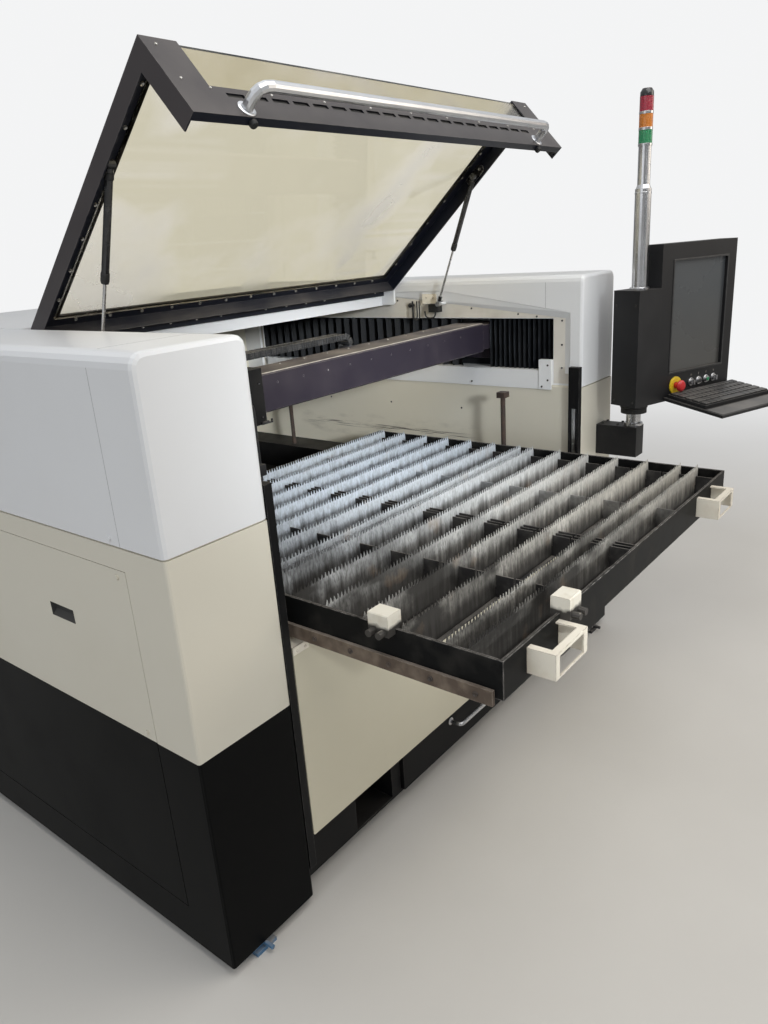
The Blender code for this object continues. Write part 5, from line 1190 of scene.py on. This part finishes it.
x0, x1, z0, z1, bar = 0.069, 0.35, 1.068, 1.446, 0.006
piece("screen_bezel", "key_black", "console", [
    (soft_block((left, face_y - 0.0016, low), (right, face_y + 0.0004, high), 0.0006), [console_turn])
    for left, low, right, high in ((x0 - bar, z0 - bar, x1 + bar, z0), (x0 - bar, z1, x1 + bar, z1 + bar),
                                   (x0 - bar, z0, x0, z1), (x1, z0, x1 + bar, z1))])
piece("console_screws", "screw_dark", "console", [
    screws(0.004, 0.002, direction, places, [console_turn]) for direction, places in (
        ((-1, 0, 0), [(-0.1, y, z) for z in (1.314, 0.985) for y in (-0.08, 0.004)]),
        ((1, 0, 0), [(0.398, y, z) for y in (-0.08, -0.038) for z in (0.99, 1.485)]),
        ((0, 1, 0), [(x, -0.024, z) for x in (0.03, 0.375) for z in (0.99, 1.482)]))])
piece("control_bezels", "bright_steel", "console",
      [(washer(0.0104, 0.0142, 0.0034, 0.0009), [out_of_face(x) for x in dial_xs])], smooth=35)
piece("stop_ring", "ring_yellow", "console",
      [(washer(0.0122, 0.0306, 0.0048, 0.0008, 48), [out_of_face(0.101)])], smooth=35)
mushroom = turned_part([
    (0, -0.004), (0.011, -0.004), (0.011, 0.021), (0.0178, 0.0212), (0.02, 0.0228), (0.02, 0.0275),
    (0.0186, 0.03), (0.0172, 0.031), (0.017, 0.0322), (0.015, 0.0342), (0.0095, 0.0356), (0, 0.036)], 40)
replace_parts(piece("stop_mushroom", "button_red", "stop_button",
                  [(mushroom, [out_of_face(0.101)])], smooth=28), "stop_button")
for body, along, finish in (("start_button", 0.2285, "key_black"), ("laser_button", 0.27, "lens_green")):
    cap = turned_part([(0, 0), (0.0072, 0), (0.0072, 0.0012), (0.006, 0.0019), (0, 0.0021)], 28)
    piece(body + "_cap", finish, body, [(cap, [out_of_face(along, 0.01)])], smooth=28)
tick = soft_block((-0.0007, 0.022, 0), (0.0007, 0.029, 0.0003), 0.0001, 1)
piece("control_ticks", "edge_pale", "console", [(tick, [out_of_face(x) for x in dial_xs])])

# %% [markdown]
# The keyboard is five rows of low keys and a palm strip. Each key is a small rounded
# block, and the widths along a row come from a short list, so the long space bar and the
# wide end keys fall into place. No letters are drawn on them.

# %% Lay the keys
tray_y, tray_z = -0.0943, 0.974
tray_lean = [console_turn @ Matrix.Translation((0, tray_y, tray_z)) @ Matrix.Rotation(radians(7.0), 4, "X")
             @ Matrix.Translation((0, -tray_y, 0.01 - tray_z))]
key_rows = [(1.3, 1.3, 1.3, 5.6, 1.3, 1.3, 1.4, 1.5), (2.0,) + (1.0,) * 11 + (2.0,),
            (1.8,) + (1.0,) * 11 + (2.2,), (1.5,) + (1.0,) * 12 + (1.5,), (1.0,) * 15]
keys = []
for number, widths in enumerate(key_rows):
    y = tray_y - 0.162 + 0.0308 * number
    x = 0.058
    for width in widths:
        wide = 0.344 / sum(widths) * width
        keys.append((soft_block((x + 0.0011, y + 0.0004, tray_z + 0.0146),
                                (x + wide - 0.0011, y + 0.0244, tray_z + 0.0176), 0.0012, 1), tray_lean))
        x += wide
piece("keyboard_keys", "key_black", "console", keys)
palm = soft_block((0.048, tray_y - 0.238, tray_z), (0.412, tray_y - 0.176, tray_z + 0.0012), 0.0005, 1)
piece("palm_strip", "console_grey", "console", [(palm, tray_lean)])

# %% [markdown]
# Where the post meets the console sits a stack of collars, with a polished sleeve under
# it, and the bracket has a bright bolted cap. The signal tower has a round foot, a ring
# at its step, thin chrome bands between the lamps and a dark cap. All of them are turned
# about their own axes.


# %% Turn the collars, bands and caps
def on_post(z):
    """The height of a ring on the console's post."""
    return [Matrix.Translation((post_x, post_y, z))]


def on_tower(z):
    """The height of a ring on the signal tower."""
    return [Matrix.Translation((tower.x, tower.y, z))]


collars = turned_part([(0.0345, 0), (0.048, 0.001), (0.048, 0.0085), (0.044, 0.0095), (0.044, 0.012),
                       (0.052, 0.013), (0.052, 0.0215), (0.0345, 0.0225)], 40, closed=True)
piece("post_collars", "rubber_black", "console", [(collars, on_post(0.9442))], smooth=35)
piece("post_lower_collar", "rubber_black", "machine",
      [(washer(0.0222, 0.0455, 0.018, 0.0015, 40), on_post(0.9256))], smooth=35)
piece("post_sleeve", "bright_steel", "machine", [
    (washer(0.0222, 0.0255, 0.036, 0.0012, 40), on_post(0.8894)),
    (washer(0.0222, 0.033, 0.01, 0.0015, 40), on_post(0.8792))], smooth=35)
piece("bracket_bolts", "screw_dark", "machine", [screws(0.0055, 0.004, (0, 0, 1), [
    (x, y, 0.879) for x in (post_x - 0.024, post_x + 0.024) for y in (-0.12, -0.062)])])

red_high, pole_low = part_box("lens_red")[1].z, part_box("tower_pole")[0].z
lens_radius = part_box("lens_green")[1].x - tower.x
bands = [(washer(lens_radius - 0.003, lens_radius + 0.0006, 0.008, 0.001, 36),
          on_tower(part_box(lens)[0].z - 0.004)) for lens in ("lens_green", "lens_amber", "lens_red")]
piece("tower_bands", "bright_steel", "console", bands + [
    (washer(0.0262, 0.033, 0.006, 0.0015, 40), on_tower(pole_low + 0.0004)),
    (washer(0.02, 0.0268, 0.006, 0.0012, 40), on_tower(pole_low + 0.302))], smooth=35)
cap = turned_part([(0.0203, 0), (0.0211, 0.0008), (0.0208, 0.013), (0.0152, 0.0222), (0.0146, 0.0231),
                   (0, 0.0233)], 36)
piece("tower_cap", "strut_black", "console", [(cap, on_tower(red_high - 0.0233))], smooth=30)

# %% [markdown]
# The back isn't in the photograph. Such machines have two lift-off service plates there,
# so the rear wall gets two thin plates with rounded edges and a screw in each corner.

# %% Hang the rear service plates
piece("rear_service_plates", "panel_cream", "machine", [
    soft_block((low_x, 1.705, 0.76), (high_x, 1.7066, 1.29), 0.0006, 1)
    for low_x, high_x in ((0.22, 0.916), (0.948, 1.644))])
piece("rear_screws", "screw_zinc", "machine", [screws(0.006, 0.003, (0, 1, 0), [
    (x, 1.7066, z) for x in (0.238, 0.898, 0.966, 1.626) for z in (0.778, 1.272)])])

# %% [markdown]
# The floor is one wide sheet of pale, sealed concrete. It isn't part of the machine. Far
# from the machine it fades into the backdrop, so that no horizon crosses the picture, and
# near the machine it keeps the shadows.

# %% Lay the floor
tree, shader, place = open_material("pale_floor")
mottle = use_effect(grime, place, Scale=1.1, Low=0.35, High=0.8)
feed(shader, {"Base Color": mix_colours(mottle, (0.66, 0.635, 0.59), (0.6, 0.575, 0.53)), "Roughness": 0.6})
axes = split(place)
squares = [calc("POWER", calc("SUBTRACT", axes[label], middle), 2.0)
           for label, middle in (("X", 0.9), ("Y", 0.3))]
away = calc("SQRT", calc("ADD", *squares))
camera_ray = add_node(tree, "LightPath").outputs["Is Camera Ray"]
glow = add_node(tree, "Emission", {"Color": backdrop})
faded = mix_shaders(product(spread(away, 2.4, 6.5), camera_ray), shader.outputs[0], glow.outputs[0])
feed(tree.nodes["Material Output"], {"Surface": faded})
sheet = bmesh.new()
bmesh.ops.create_grid(sheet, x_segments=4, y_segments=4, size=20.0)
named("pale_floor", sheet, "pale_floor")
print("floor laid")
